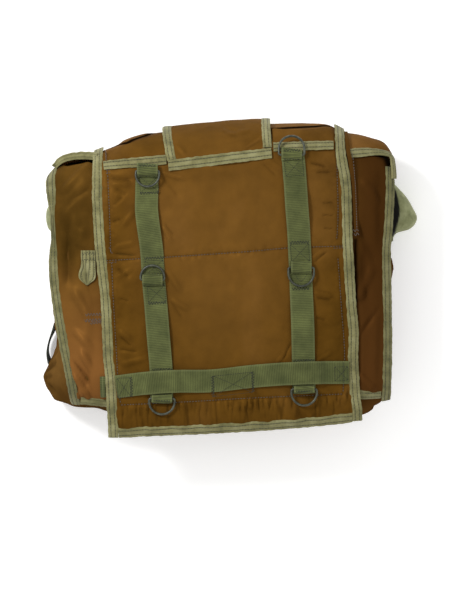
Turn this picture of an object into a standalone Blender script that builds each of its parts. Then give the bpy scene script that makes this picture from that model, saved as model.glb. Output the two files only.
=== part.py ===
"""Filled cloth pack for a parachutist, closed and lying on its back.

The stuffed front is one rolled surface. Every sheet, binding and webbing is laid on that surface at
its own lift, so that the layers follow the same crown and never touch. Lengths in the tables are
millimetres: x to the pack's right as seen from the front, y towards its top, z up from its back.
"""

import math

import bmesh
import bpy
from mathutils import Vector

MM = 0.001

# Size of the stuffed form.
CROWN_HEIGHT = 110.0
SEAM_HEIGHT = 84.0
CROWN_POWER = 2.6
END_DROP = 7.0
ROLL_HEIGHT = 46.0
ROLL_CORNER_RISE = 14.0
ROLL_REACH = 42.0
ROLL_CORNER_TUCK = 12.0
ROLL_FOOT = 8.0
MIDDLE_X = -13.0
HALF_WIDTH = 192.0
MIDDLE_Y = 0.0
HALF_LENGTH = 165.0
BASE_SHARE = 0.93
BELLY_TUCK = 8.0
BODY_COLUMNS = 22
BODY_ROWS = 20
BODY_LEVELS = 5
EDGE_SHARE = 0.99

# Cloth, tape and webbing as sewn.
CLOTH_THICK = 1.2
BINDING_THICK = 2.0
SEAM_TAPE_WIDTH = 8.2
FLAP_TAPE_WIDTH = 9.6
TOP_TAPE_WIDTH = 7.4
TONGUE_TAPE_WIDTH = 8.0
WEBBING_WIDTH = 24.6
WEBBING_THICK = 1.8
CANVAS_THICK = 2.2
WIRE = 2.6
PLAN_GAP = 1.0
WEBBING_COLUMNS = 3

# Lift of the underside of each layer above the stuffed surface.
BODY_LIFT = -3.5
PANEL_LIFT = 0.0
SEAM_TAPE_LIFT = -0.2
LID_LIFT = 2.2
LID_TAPE_LIFT = 2.9
FLAP_LIFT = 2.6
FLAP_OVER_LID = 5.6
TONGUE_RISE = 2.6
ON_CLOTH = 0.8
ON_WEBBING = 0.7
EDGE_TAPE_DROP = 0.2
CORNER_CLEAR = 3.0

# Where the flap climbs onto the lid, as y.
FLAP_OVER_START = 107.9
FLAP_OVER_END = 132.8

# Columns and rows of the sheets, and rows of the strips.
SHEET_STEPS = {
    "front_panel": (22, 16), "lid": (30, 7), "tongue": (16, 16), "flap": (28, 22), "canvas": (8, 7),
}
STRIP_ROWS = {
    "seam_tape_left": 26, "seam_tape_right": 22, "seam_tape_bottom": 28, "lid_tape_left": 8,
    "lid_tape_right": 12, "tongue_tape_left": 14, "tongue_tape_right": 14, "tongue_tape_bottom": 14,
    "flap_tape_left": 28, "flap_tape_right": 28, "flap_tape_bottom": 32, "flap_tape_top_left": 10,
    "flap_tape_top_right": 10, "flap_facing": 16, "strap_left": 34, "strap_right": 34, "cross_strap": 40,
    "cross_strap_end": 4, "side_tab": 10, "loop": 10, "lower_strap_left": 14,
}

# Outline of the stuffed surface: x, and the y at which it turns down.
TOP_TURN = (
    (-212.1, 107.9), (-205.3, 118.1), (-197.4, 126.0), (-187.2, 132.8), (-171.4, 136.2),
    (-152.2, 139.0), (-135.3, 145.2), (-110.4, 155.4), (-90.1, 160.5), (-47.1, 165.5), (9.4, 170.6),
    (41.0, 171.8), (105.4, 171.2), (125.8, 162.7), (141.6, 159.9), (158.5, 155.4), (172.1, 149.7),
    (180.0, 137.3), (186.8, 121.5),
)
BAG_FOOT = (
    (-212.1, -126.2), (-197.4, -142.1), (-180.5, -145.4), (-142.0, -151.1), (-124.0, -166.0),
    (-92.3, -169.0), (9.4, -165.0), (77.2, -159.6), (128.0, -157.0), (145.0, -159.2), (157.4, -153.0),
    (166.4, -146.6), (183.4, -137.0),
)
FLAP_FOOT = ((-212.1, -205.4), (-139.8, -202.0), (9.4, -195.2), (146.1, -182.8), (183.4, -180.5))

# Middle lines of the front panel's binding.
SEAM_LEFT = (
    (-176.5, -142.9), (-182.7, -111.3), (-189.2, -79.7), (-194.6, -48.0), (-199.4, -16.4),
    (-201.7, 10.7), (-201.3, 42.4), (-203.6, 84.2), (-204.8, 112.4), (-202.5, 121.5),
)
SEAM_RIGHT = (
    (174.6, -138.4), (175.5, -120.3), (176.3, -75.1), (175.9, -29.9), (174.8, 31.1), (176.3, 49.2),
    (178.9, 94.4), (178.5, 124.9),
)
SEAM_FOOT = (
    (-170.9, -137.4), (-157.9, -138.3), (-140.2, -140.4), (-35.8, -139.0), (77.2, -134.7),
    (145.0, -132.4), (168.7, -132.0),
)
PANEL_TOP = (
    (-196.8, 119.8), (-187.2, 125.4), (-173.7, 127.7), (-152.2, 128.5), (-92.3, 132.8), (20.7, 141.8),
    (124.6, 138.4), (173.2, 130.5),
)

# Widest line of the sides, which shows past the binding at the lower left.
BELLY_LEFT = (
    (-149.7, -191.8), (-138.4, -198.5), (-130.5, -203.6), (-119.2, -210.6), (-109.0, -210.5),
    (-98.9, -206.5), (-84.2, -201.1), (-48.0, -200.8), (42.4, -201.9), (121.5, -204.2),
)
BELLY_RIGHT = (
    (-142.9, 168.7), (-120.3, 178.9), (-75.1, 179.4), (-25.4, 179.4), (11.9, 181.7),
    (49.2, 180.0), (121.5, 180.0),
)

# Middle lines of the flap's bindings.
FLAP_LEFT = (
    (-133.7, -180.2), (-133.9, -170.1), (-135.3, -141.8), (-136.8, -112.4), (-139.0, -91.0),
    (-140.9, -48.0), (-142.6, -18.6), (-148.0, 27.7), (-151.6, 84.2), (-151.8, 117.0), (-148.6, 142.9),
)
FLAP_RIGHT = (
    (141.9, -161.6), (141.5, -153.1), (138.9, -128.3), (137.0, -89.8), (137.4, -59.3), (134.5, -29.9),
    (132.0, 19.8), (130.7, 39.0), (129.6, 74.0), (128.3, 109.0), (122.8, 142.9), (119.3, 168.9),
)
FLAP_HEM = (
    (-127.8, -175.3), (-81.0, -173.0), (-35.8, -171.4), (9.4, -168.7), (54.6, -165.9),
    (99.8, -162.2), (135.9, -157.9),
)
FLAP_TOP = (
    (-143.7, 141.8), (-135.3, 145.8), (-117.2, 152.0), (-99.1, 157.9), (-69.7, 164.4),
    (20.7, 167.8), (77.2, 166.1), (114.5, 166.1),
)
TOP_TAPE_LEFT = ((-144.8, 126.9), (-109.3, 129.8), (-74.0, 133.0))
TOP_TAPE_RIGHT = ((47.1, 147.0), (77.2, 148.3), (114.5, 149.4))

# Strip of cloth that shows beside the flap's right binding.
FACING_LINE = (
    (140.8, 49.2), (140.2, 62.7), (139.1, 81.9), (138.0, 104.5), (135.0, 123.7), (131.4, 144.1),
    (128.3, 159.9),
)
FACING_WIDTH = 4.6

# Bound edges of the lid and of the tongue.
LID_LEFT = ((-199.0, 122.0), (-189.5, 128.4), (-175.9, 131.5), (-157.2, 132.0))
LID_RIGHT = (
    (137.1, 140.9), (158.5, 142.7), (172.1, 140.0), (180.0, 131.6), (182.9, 120.3), (181.8, 110.2),
)
LID_FRONT = (
    (-196.0, 127.4), (-185.0, 132.6), (-175.9, 134.4), (-152.2, 137.4), (-92.3, 148.6), (20.7, 157.6),
    (111.1, 154.2), (137.1, 145.9), (158.5, 147.9), (169.0, 147.4), (176.6, 144.2),
)
LID_TAPE_WIDTH = 7.4
LID_RIGHT_HALF_WIDTHS = ((0.0, 3.9), (0.45, 3.3), (0.65, 2.3), (1.0, 2.0))

# Tapes that stand up from the roll: share of the line, and degrees, below nought on their right edge.
SEAM_FOOT_TURN = ((0.0, 40.0), (0.12, 40.0), (0.3, 0.0), (1.0, 0.0))
SEAM_FOOT_OFF = ((0.0, -3.0), (0.12, -3.2), (0.3, -5.1), (1.0, -5.1))
LID_LEFT_TURN = ((0.0, -50.0), (1.0, -58.0))
NO_TURN = ((0.0, 0.0), (1.0, 0.0))
LID_BACK = 27.0
TONGUE_LEFT = ((-67.9, 132.3), (-70.2, 144.1), (-72.4, 156.5))
TONGUE_RIGHT = ((40.1, 146.3), (39.2, 156.5), (38.5, 165.5))
TONGUE_HEM = ((-71.5, 126.4), (-35.8, 130.5), (3.7, 135.3), (44.9, 140.2))
TONGUE_BACK = 33.0

# Upright webbings and the webbing across the flap's foot.
STRAP_LEFT = (
    (-78.9, -140.7), (-79.7, -103.4), (-81.6, -79.7), (-85.5, -32.2), (-88.3, -0.6), (-90.4, 32.2),
    (-95.9, 74.0), (-95.9, 93.2), (-95.4, 120.3),
)
STRAP_RIGHT = (
    (81.6, -130.5), (80.8, -93.2), (79.9, -52.5), (78.3, -14.1), (76.7, 26.6), (75.6, 49.2), (73.3, 79.7),
    (71.3, 110.2), (68.6, 140.7),
)
CROSS_STRAP = (
    (-130.3, -123.5), (-93.9, -119.0), (-67.5, -117.2), (-22.3, -116.5), (25.2, -111.3),
    (77.2, -107.9), (132.1, -107.2),
)
# Stretches that are not sewn down: start and end along the webbing, and how far they stand off.
LEFT_ARCHES = ((-104.5, -29.9, 2.6), (23.2, 96.6, 3.2))
RIGHT_ARCHES = ((-93.2, -14.1, 2.4), (40.1, 111.3, 3.0))
CROSS_ARCHES = ((-113.8, -22.3, 1.8), (25.2, 115.6, 2.0))
CROSSED_HALF = 14.5
CROSSED_EASE = 10.0

# Rings: name, middle of the straight bar, outer width, outer height, 1 for arc up or -1 for down,
# and the length of the webbing loop over the bar.
RINGS = (
    ("left_top", (-95.0, 120.3), 29.0, 20.5, -1, 13.0),
    ("left_mid", (-89.4, -2.8), 29.5, 19.0, 1, 12.0),
    ("left_bottom", (-78.8, -136.5), 31.5, 20.5, -1, 8.6),
    ("right_top", (67.6, 137.9), 31.5, 24.5, 1, 11.0),
    ("right_mid", (78.3, 11.3), 31.5, 23.5, -1, 13.0),
    ("right_bottom", (81.7, -126.0), 31.5, 21.0, -1, 8.0),
)
RING_LIFT = 0.8
RING_CORNER = 1.8
RING_STEPS = 8
LOOP_WIDTH = 21.6
LOOP_THICK = 1.5
LOOP_CLEAR = 0.6

# Tab on the left of the front panel: its middle line from the tip up, and share of that line, half width.
TAB_LINE = ((-163.7, -8.8), (-162.7, -0.6), (-162.0, 15.3), (-162.2, 30.6))
TAB_HALF_WIDTHS = ((0.0, 0.8), (0.2, 9.0), (0.55, 8.4), (1.0, 7.8))
CROSS_END_LINE = ((-145.0, -134.6), (-145.7, -111.8))
CROSS_END_WIDTH = 6.0

# Canvas straps at the sides: y, and how far out the fold reaches there.
CANVAS_RIGHT = (
    (41.8, 182.8), (52.5, 189.0), (57.6, 204.9), (67.2, 211.3),
    (78.5, 206.9), (91.5, 199.2), (105.7, 186.2),
)
CANVAS_LEFT = (
    (53.7, -204.8), (58.2, -208.0), (68.4, -209.4), (77.4, -208.7), (83.1, -205.8),
)
CANVAS_TOP_Z = 40.0
CANVAS_LOW_Z = 5.0
CANVAS_OFF_WALL = 1.4
CANVAS_TUCK = 5.0
CANVAS_ROUNDNESS = 0.8
# Inner face of the loop at the lower left, from its foot up.
LOWER_STRAP = (
    (-208.0, -98.0), (-209.0, -93.0), (-209.6, -85.3), (-207.6, -74.0), (-203.4, -60.5), (-201.0, -52.0),
)
LOWER_STRAP_LEAN = 4.5
LOWER_STRAP_LOW_Z = 5.0
LOWER_STRAP_HIGH_Z = 25.0

# Folds: start x, start y, end x, end y, half width, and height, below nought for a trough.
PANEL_FOLDS = (
    ((-162.4, 121.5), (-191.8, 62.7), 9.0, 2.2),
    ((-180.5, 46.9), (-187.2, -5.1), 6.5, -2.4),
    ((-166.9, 55.9), (-171.4, 35.6), 8.0, 1.6),
    ((-151.1, -25.4), (-175.9, -106.8), 9.0, 1.8),
    ((-145.4, -76.3), (-168.0, -129.4), 5.5, -2.2),
    ((-153.3, -118.1), (-178.2, -133.9), 5.0, 1.8),
    ((154.0, 127.1), (160.8, 33.3), 9.0, 1.8),
    ((149.5, 31.1), (151.8, -25.4), 6.0, -2.2),
    ((165.3, -25.4), (158.5, -122.6), 7.0, 1.6),
)
FLAP_FOLDS = (
    ((-125.1, 105.7), (-121.7, 42.4), 13.0, 1.8),
    ((-62.9, 114.7), (34.2, 128.3), 7.0, 1.6),
    ((34.2, 132.8), (56.8, 112.4), 6.0, -0.9),
    ((99.8, 137.3), (112.2, 46.9), 8.0, 1.6),
    ((-47.1, -25.4), (43.3, -2.8), 34.0, 2.6),
    ((-124.0, -2.8), (-112.7, -93.2), 12.0, 1.4),
    ((108.8, 8.5), (115.6, -81.9), 10.0, 1.5),
    ((-128.5, 58.2), (-103.6, 17.5), 6.0, -0.8),
    ((-58.4, 24.3), (54.6, 32.2), 5.0, -0.9),
    ((-124.0, -141.8), (122.4, -131.6), 4.5, -0.9),
)
PUCKER_LENGTH = 31.0
PUCKER_HEIGHT = 0.9
PUCKER_RISE = (-1.0, 7.0)
PUCKER_FADE = (8.0, 20.0)
PANEL_FOLDS_END_LEFT = (-165.8, -154.8)
PANEL_FOLDS_START_RIGHT = (131.6, 141.6)
PANEL_EDGES = (-201.3, 174.8)
PANEL_EDGE_EASE = (4.0, 16.0)
PANEL_EDGE_SHARE = 0.25

COLOURS = {
    "nylon": (0.141, 0.066, 0.012),
    "nylon_warm": (0.19, 0.085, 0.022),
    "tape": (0.274, 0.27, 0.125),
    "webbing": (0.125, 0.16, 0.05),
    "canvas": (0.21, 0.25, 0.118),
    "steel": (0.09, 0.098, 0.077),
}
ROUGHNESS = {"nylon": 0.55, "nylon_warm": 0.55, "tape": 0.9, "webbing": 0.8, "canvas": 0.95, "steel": 0.45}


def eased(table, at):
    """Second column of a table at a place in its first, on a smooth curve through the rows."""
    rows = sorted(table)
    if at <= rows[0][0]:
        return rows[0][1]
    if at >= rows[-1][0]:
        return rows[-1][1]
    i = max(k for k in range(len(rows) - 1) if rows[k][0] <= at)

    def slope(k):
        low, high = max(k - 1, 0), min(k + 1, len(rows) - 1)
        return (rows[high][1] - rows[low][1]) / (rows[high][0] - rows[low][0])

    span = rows[i + 1][0] - rows[i][0]
    t = (at - rows[i][0]) / span
    start = (2 * t**3 - 3 * t**2 + 1) * rows[i][1] + (t**3 - 2 * t**2 + t) * span * slope(i)
    end = (3 * t**2 - 2 * t**3) * rows[i + 1][1] + (t**3 - t**2) * span * slope(i + 1)
    return start + end


def ramp(value, low, high):
    """0 below low, 1 above high, and a soft step between them."""
    share = min(max((value - low) / (high - low), 0.0), 1.0)
    return share * share * (3 - 2 * share)


def along(line, share):
    """Point at a share of the length of a line, on a smooth curve through its points."""
    reach = [0.0]
    for start, end in zip(line, line[1:]):
        reach.append(reach[-1] + math.dist(start, end))
    at = share * reach[-1]
    x = eased([(r, p[0]) for r, p in zip(reach, line)], at)
    y = eased([(r, p[1]) for r, p in zip(reach, line)], at)
    return x, y


def beside(line, distance, points=24):
    """Line beside another in plan, to its right for a distance above nought or a table of them."""
    moved = []
    for i in range(points + 1):
        share = i / points
        off = eased(distance, share) if isinstance(distance, tuple) else distance
        x, y = along(line, share)
        before = along(line, max(share - 0.01, 0.0))
        after = along(line, min(share + 0.01, 1.0))
        length = math.dist(before, after)
        moved.append((
            x + off * (after[1] - before[1]) / length,
            y - off * (after[0] - before[0]) / length,
        ))
    return moved


def above(line, y):
    """The part of an upward line that lies above a y, from the very place where it crosses it."""
    kept = [p for p in line if p[1] > y]
    last = [p for p in line if p[1] <= y][-1]
    share = (y - last[1]) / (kept[0][1] - last[1])
    return [(last[0] + share * (kept[0][0] - last[0]), y), *kept]


def crown(x, y):
    """Height of the stuffed front away from its ends."""
    across = min(abs((x - MIDDLE_X) / HALF_WIDTH), 1.1)
    up = min(abs((y - MIDDLE_Y) / HALF_LENGTH), 1.1)
    return SEAM_HEIGHT + (CROWN_HEIGHT - SEAM_HEIGHT) * (1 - across**CROWN_POWER) - END_DROP * up * up


def roll(x):
    """Reach and mid height of the rolled ends, which are tighter and higher at the corners."""
    corner = min(abs((x - MIDDLE_X) / HALF_WIDTH), 1.1) ** 4
    return ROLL_REACH - ROLL_CORNER_TUCK * corner, ROLL_HEIGHT + ROLL_CORNER_RISE * corner


def skin(x, travel, foot):
    """Point of the stuffed surface. Travel is y on the flat, and follows the roll at both ends."""
    reach, height = roll(x)
    top_start = eased(TOP_TURN, x) - reach
    foot_start = eased(foot, x) + reach
    if travel > top_start:
        side, start, angle = 1, top_start, (travel - top_start) / reach
    elif travel < foot_start:
        side, start, angle = -1, foot_start, (foot_start - travel) / reach
    else:
        return Vector((x, travel, crown(x, travel)))
    y = start + side * reach * math.sin(angle)
    drop = crown(x, y) - height if angle < math.pi / 2 else height - ROLL_FOOT
    return Vector((x, y, height + drop * math.cos(angle)))


def travel_of(x, y, foot):
    """Travel that reaches a y in plan. A y past the turn goes on round the roll."""
    reach = roll(x)[0]
    for side, turn in ((1, eased(TOP_TURN, x)), (-1, eased(foot, x))):
        past = side * (y - turn)
        if past > -reach:
            angle = math.asin(1 + past / reach) if past < 0 else math.pi / 2 + past / reach
            return turn + side * reach * (angle - 1)
    return y


def frame_at(x, travel, foot):
    """Point of the stuffed surface, with its directions across, up the front and outwards."""
    step = 0.5
    across = (skin(x + step, travel, foot) - skin(x - step, travel, foot)).normalized()
    up = (skin(x, travel + step, foot) - skin(x, travel - step, foot)).normalized()
    normal = across.cross(up).normalized()
    return skin(x, travel, foot), across, up, normal


def settle(x, y, lift, foot):
    """Place on the stuffed surface, as x and travel, whose raised point lies over a place in plan."""
    free = min(eased(TOP_TURN, x) - y, y - eased(foot, x)) / roll(x)[0]
    keep = ramp(free, 0.05, 0.35)
    near_x, near_y = x, y
    for _ in range(2):
        normal = frame_at(near_x, travel_of(near_x, near_y, foot), foot)[3]
        near_x = x - keep * normal.x * lift
        near_y = y - keep * normal.y * lift
    return near_x, travel_of(near_x, near_y, foot)


def laid(x, travel, lift, foot):
    """Point that stands off the stuffed surface by a lift, itself a function of a place in plan."""
    point, _, _, normal = frame_at(x, travel, foot)
    return point + normal * lift(x, point.y)


def settled(line, lift, foot):
    """A plan line moved onto the stuffed surface."""
    return [settle(x, y, lift(x, y), foot) for x, y in line]


def fold_height(folds, x, y):
    """Height that a table of folds adds at a place."""
    total = 0.0
    for (x0, y0), (x1, y1), half_width, height in folds:
        run_x, run_y = x1 - x0, y1 - y0
        length = math.hypot(run_x, run_y)
        share = ((x - x0) * run_x + (y - y0) * run_y) / length**2
        side = ((x - x0) * run_y - (y - y0) * run_x) / length
        ends = ramp(share, -0.15, 0.2) * (1 - ramp(share, 0.8, 1.15))
        total += height * ends * math.exp(-((side / half_width) ** 2))
    return total


def panel_lift(x, y):
    """Underside of the front panel: folded where it shows, smooth under the flap."""
    left = 1 - ramp(x, *PANEL_FOLDS_END_LEFT)
    right = ramp(x, *PANEL_FOLDS_START_RIGHT)
    edge = ramp(min(x - PANEL_EDGES[0], PANEL_EDGES[1] - x), *PANEL_EDGE_EASE)
    return PANEL_LIFT + max(left, right) * max(edge, PANEL_EDGE_SHARE) * fold_height(PANEL_FOLDS, x, y)


def flap_lift(x, y):
    """Underside of the flap, with its folds and the puckers over its hem."""
    over_lid = ramp(y, FLAP_OVER_START, FLAP_OVER_END)
    base = FLAP_LIFT + (FLAP_OVER_LID - FLAP_LIFT) * over_lid
    hem_y = along(FLAP_HEM, min(max((x - FLAP_HEM[0][0]) / (FLAP_HEM[-1][0] - FLAP_HEM[0][0]), 0), 1))[1]
    near_hem = ramp(y - hem_y, *PUCKER_RISE) * (1 - ramp(y - hem_y, *PUCKER_FADE))
    pucker = PUCKER_HEIGHT * near_hem * (1 + math.sin(2 * math.pi * x / PUCKER_LENGTH))
    return base + (1 - over_lid) * fold_height(FLAP_FOLDS, x, y) + pucker


def tongue_lift(x, y):
    """Underside of the tongue, over the flap and then over the lid."""
    return flap_lift(x, min(y, FLAP_OVER_END)) + TONGUE_RISE


def strap_lift(arches, x, y, at):
    """Underside of a webbing on the flap, with the stretches that stand off it."""
    lift = flap_lift(x, y) + CLOTH_THICK + ON_CLOTH
    for start, end, height in arches:
        share = (at - start) / (end - start)
        if 0 < share < 1:
            lift += height * math.sin(math.pi * share) ** 1.5
    return lift


def cross_lift(x, y):
    """Underside of the cross webbing, which climbs over both upright webbings."""
    lift = strap_lift(CROSS_ARCHES, x, y, x)
    over = 0.0
    for line in (STRAP_LEFT, STRAP_RIGHT):
        off = abs(x - line[1][0]) - CROSSED_HALF
        over = max(over, 1 - ramp(off, 0, CROSSED_EASE))
    return lift + over * (WEBBING_THICK + ON_WEBBING)


def finish(name, bm, finish_name, thickness=0.0):
    """Object from a mesh: linked, coloured, smooth and, for a sheet, given its thickness."""
    mesh = bpy.data.meshes.new(name)
    bm.to_mesh(mesh)
    bm.free()
    mesh.shade_smooth()
    made = bpy.data.objects.new(name, mesh)
    pack.objects.link(made)
    dress(made, finish_name)
    if thickness:
        solidify = made.modifiers.new("thickness", "SOLIDIFY")
        solidify.thickness = thickness * MM
        solidify.offset = 1.0
        solidify.use_even_offset = True
    return made


def dress(made, finish_name):
    """Give an object a Principled material of its own."""
    material = bpy.data.materials.new(f"{made.name}_{finish_name}")
    material.use_nodes = True
    shader = material.node_tree.nodes["Principled BSDF"]
    shader.inputs["Base Color"].default_value = (*COLOURS[finish_name], 1)
    shader.inputs["Roughness"].default_value = ROUGHNESS[finish_name]
    shader.inputs["Metallic"].default_value = 0.8 if finish_name == "steel" else 0.0
    made.data.materials.append(material)


def grid(columns, rows, point_at):
    """Grid whose points are moved to where a function of two shares puts them."""
    bm = bmesh.new()
    bmesh.ops.create_grid(bm, x_segments=columns, y_segments=rows, size=1.0)
    for vert in bm.verts:
        vert.co = point_at((vert.co.x + 1) / 2, (vert.co.y + 1) / 2) * MM
    return bm


def sheet(name, edges, lift, finish_name, foot=BAG_FOOT):
    """Cloth between four edge lines: left and right run up, foot and top run to the right."""
    left, right, low, top = (settled(edge, lift, foot) for edge in edges)

    def point_at(u, v):
        spot = []
        for axis in (0, 1):
            ends = (1 - v) * along(low, u)[axis] + v * along(top, u)[axis]
            sides = (1 - u) * along(left, v)[axis] + u * along(right, v)[axis]
            corners = (
                (1 - u) * (1 - v) * low[0][axis] + u * (1 - v) * low[-1][axis]
                + (1 - u) * v * top[0][axis] + u * v * top[-1][axis]
            )
            spot.append(ends + sides - corners)
        return laid(spot[0], spot[1], lift, foot)

    return finish(name, grid(*SHEET_STEPS[name], point_at), finish_name, CLOTH_THICK)


def strip(name, line, width, lift, thickness, finish_name, foot=BAG_FOOT, columns=1, taper=None, turn=None):
    """Tape or webbing along a middle line, flat or turned to stand up on one of its edges."""
    line = settled(line, lift, foot)
    rows = STRIP_ROWS["loop" if name.startswith("loop") else name]

    def point_at(u, v):
        lean = math.radians(eased(turn or NO_TURN, v))
        half = (width / 2 if taper is None else eased(taper, v)) * math.cos(lean)
        rise = width * max(u * math.sin(lean), (u - 1) * math.sin(lean))
        x, y = along(line, v)
        before = along(line, max(v - 0.01, 0.0))
        after = along(line, min(v + 0.01, 1.0))
        length = math.dist(before, after)
        off = (2 * u - 1) * half / length
        x += off * (after[1] - before[1])
        y -= off * (after[0] - before[0])
        return laid(x, y, lambda at_x, at_y: lift(at_x, at_y) + rise, foot)

    return finish(name, grid(columns, rows, point_at), finish_name, thickness)


def line_between(start, end, points=2):
    """Straight line from one point to another."""
    shares = [i / (points - 1) for i in range(points)]
    return [(start[0] + s * (end[0] - start[0]), start[1] + s * (end[1] - start[1])) for s in shares]


def between(start, line, end):
    """Line with its ends moved to two corners."""
    return [start, *[p for p in line if start[0] + CORNER_CLEAR < p[0] < end[0] - CORNER_CLEAR], end]


def turned_edge(x_start, x_end, back, points=12):
    """Line along the top turn that lies some way round the roll."""
    return [(x, eased(TOP_TURN, x) + back) for x, _ in line_between((x_start, 0), (x_end, 0), points)]


def rim_point(u, v):
    """Point of the filled bag's front, from the foot's turn to the top's and between the bindings."""
    y = v * HALF_LENGTH
    for _ in range(4):
        left = eased([(p[1], p[0]) for p in SEAM_LEFT], y)
        right = eased([(p[1], p[0]) for p in SEAM_RIGHT], y)
        x = left + (u + 1) / 2 * (right - left)
        past_square = roll(x)[0] * (math.pi / 2 - 1)
        low = eased(BAG_FOOT, x) - past_square
        high = eased(TOP_TURN, x) + past_square
        travel = low + (v + 1) / 2 * (high - low)
        y = skin(x, travel, BAG_FOOT).y
    point, _, _, normal = frame_at(x, travel, BAG_FOOT)
    return point + normal * BODY_LIFT


def make_body():
    """Filled bag: a box cut into a grid, its front laid on the stuffed surface and its back flat."""
    bm = bmesh.new()
    bmesh.ops.create_cube(bm, size=2.0)
    for axis, cuts in ((0, BODY_COLUMNS), (1, BODY_ROWS), (2, BODY_LEVELS)):
        for i in range(1, cuts):
            cut = Vector((0, 0, 0))
            cut[axis] = -1 + 2 * i / cuts
            direction = Vector((0, 0, 0))
            direction[axis] = 1
            everything = bm.verts[:] + bm.edges[:] + bm.faces[:]
            bmesh.ops.bisect_plane(bm, geom=everything, dist=1e-6, plane_co=cut, plane_no=direction)
    back = [f for f in bm.faces if all(v.co.z < -EDGE_SHARE for v in f.verts)]
    bmesh.ops.dissolve_faces(bm, faces=back)
    for vert in bm.verts:
        u, v, w = vert.co
        rim = rim_point(u, v)
        base = Vector((
            MIDDLE_X + BASE_SHARE * (rim.x - MIDDLE_X),
            MIDDLE_Y + BASE_SHARE * (rim.y - MIDDLE_Y),
            0.0,
        ))
        side = (1 - w) / 2
        belly = None
        if u < -EDGE_SHARE:
            belly = min(eased(BELLY_LEFT, (rim.y + base.y) / 2), rim.x)
        if u > EDGE_SHARE:
            belly = max(eased(BELLY_RIGHT, (rim.y + base.y) / 2), rim.x)
        if belly is not None:
            base.x = belly - math.copysign(BELLY_TUCK, u)
        middle = rim.lerp(base, 0.5)
        bulge = Vector((0 if belly is None else belly - middle.x, 0, 0))
        control = middle + 2 * bulge
        vert.co = ((1 - side) ** 2 * rim + 2 * side * (1 - side) * control + side**2 * base) * MM
    return finish("pack_body", bm, "nylon")


def make_panel():
    """Front panel with the binding of its seam."""
    off = SEAM_TAPE_WIDTH / 2 + PLAN_GAP
    foot = beside(SEAM_FOOT, SEAM_FOOT_OFF)
    left = above(beside(SEAM_LEFT, off), foot[0][1])
    right = above(beside(SEAM_RIGHT, -off), foot[-1][1])
    low = between(left[0], foot, right[0])
    top = [left[-1], *PANEL_TOP[1:-1], right[-1]]
    sheet("front_panel", (left, right, low, top), panel_lift, "nylon_warm")

    def seam_lift(x, y):
        return SEAM_TAPE_LIFT

    for name, line, turn in (
        ("seam_tape_left", SEAM_LEFT, NO_TURN),
        ("seam_tape_right", SEAM_RIGHT, NO_TURN),
        ("seam_tape_bottom", SEAM_FOOT, SEAM_FOOT_TURN),
    ):
        strip(name, line, SEAM_TAPE_WIDTH, seam_lift, BINDING_THICK, "tape", turn=turn)


def make_lid():
    """Lid over the top of the bag, with the two bound stretches of its edge that show."""

    def lid_lift(x, y):
        return LID_LIFT

    def tape_lift(x, y):
        return LID_TAPE_LIFT

    low = LID_FRONT
    start, end = low[0], low[-1]
    top = turned_edge(start[0] + 4, end[0] - 2, LID_BACK)
    edges = (line_between(start, top[0]), line_between(end, top[-1]), low, top)
    sheet("lid", edges, lid_lift, "nylon")
    for name, line, taper, turn in (
        ("lid_tape_left", LID_LEFT, None, LID_LEFT_TURN),
        ("lid_tape_right", LID_RIGHT, LID_RIGHT_HALF_WIDTHS, NO_TURN),
    ):
        strip(name, line, LID_TAPE_WIDTH, tape_lift, BINDING_THICK, "tape", taper=taper, turn=turn)


def make_tongue():
    """Tongue that comes over the top and covers the middle of the flap's top edge."""
    off = TONGUE_TAPE_WIDTH / 2 + PLAN_GAP

    def with_back(line):
        x = line[-1][0]
        back = [(x, eased(TOP_TURN, x) + share * TONGUE_BACK) for share in (0.1, 0.55, 1.0)]
        return [*line, *back]

    left_line, right_line = with_back(TONGUE_LEFT), with_back(TONGUE_RIGHT)
    left, right = beside(left_line, off), beside(right_line, -off)
    low = between(left[0], beside(TONGUE_HEM, -off), right[0])
    top = turned_edge(left[-1][0], right[-1][0], TONGUE_BACK, 7)
    sheet("tongue", (left, right, low, top), tongue_lift, "nylon")

    def tape_lift(x, y):
        return tongue_lift(x, y) - EDGE_TAPE_DROP

    for name, line in (
        ("tongue_tape_left", left_line),
        ("tongue_tape_right", right_line),
        ("tongue_tape_bottom", TONGUE_HEM),
    ):
        strip(name, line, TONGUE_TAPE_WIDTH, tape_lift, BINDING_THICK, "tape")


def make_flap():
    """Flap over the front with its bindings, its top tape and the facing beside it."""
    off = FLAP_TAPE_WIDTH / 2 + PLAN_GAP
    hem = beside(FLAP_HEM, -off)
    left = above(beside(FLAP_LEFT, off), hem[0][1])
    right = above(beside(FLAP_RIGHT, -off), hem[-1][1])
    low = between(left[0], hem, right[0])
    top = [left[-1], *FLAP_TOP[1:-1], right[-1]]
    sheet("flap", (left, right, low, top), flap_lift, "nylon", FLAP_FOOT)

    def edge_lift(x, y):
        return flap_lift(x, y) - EDGE_TAPE_DROP

    def top_tape_lift(x, y):
        return flap_lift(x, y) + CLOTH_THICK + ON_CLOTH

    for name, line in (
        ("flap_tape_left", FLAP_LEFT),
        ("flap_tape_right", FLAP_RIGHT),
        ("flap_tape_bottom", FLAP_HEM),
    ):
        strip(name, line, FLAP_TAPE_WIDTH, edge_lift, BINDING_THICK, "tape", FLAP_FOOT)
    for name, line in (("flap_tape_top_left", TOP_TAPE_LEFT), ("flap_tape_top_right", TOP_TAPE_RIGHT)):
        strip(name, line, TOP_TAPE_WIDTH, top_tape_lift, WEBBING_THICK, "tape", FLAP_FOOT)
    strip("flap_facing", FACING_LINE, FACING_WIDTH, edge_lift, CLOTH_THICK, "nylon", FLAP_FOOT)


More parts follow.
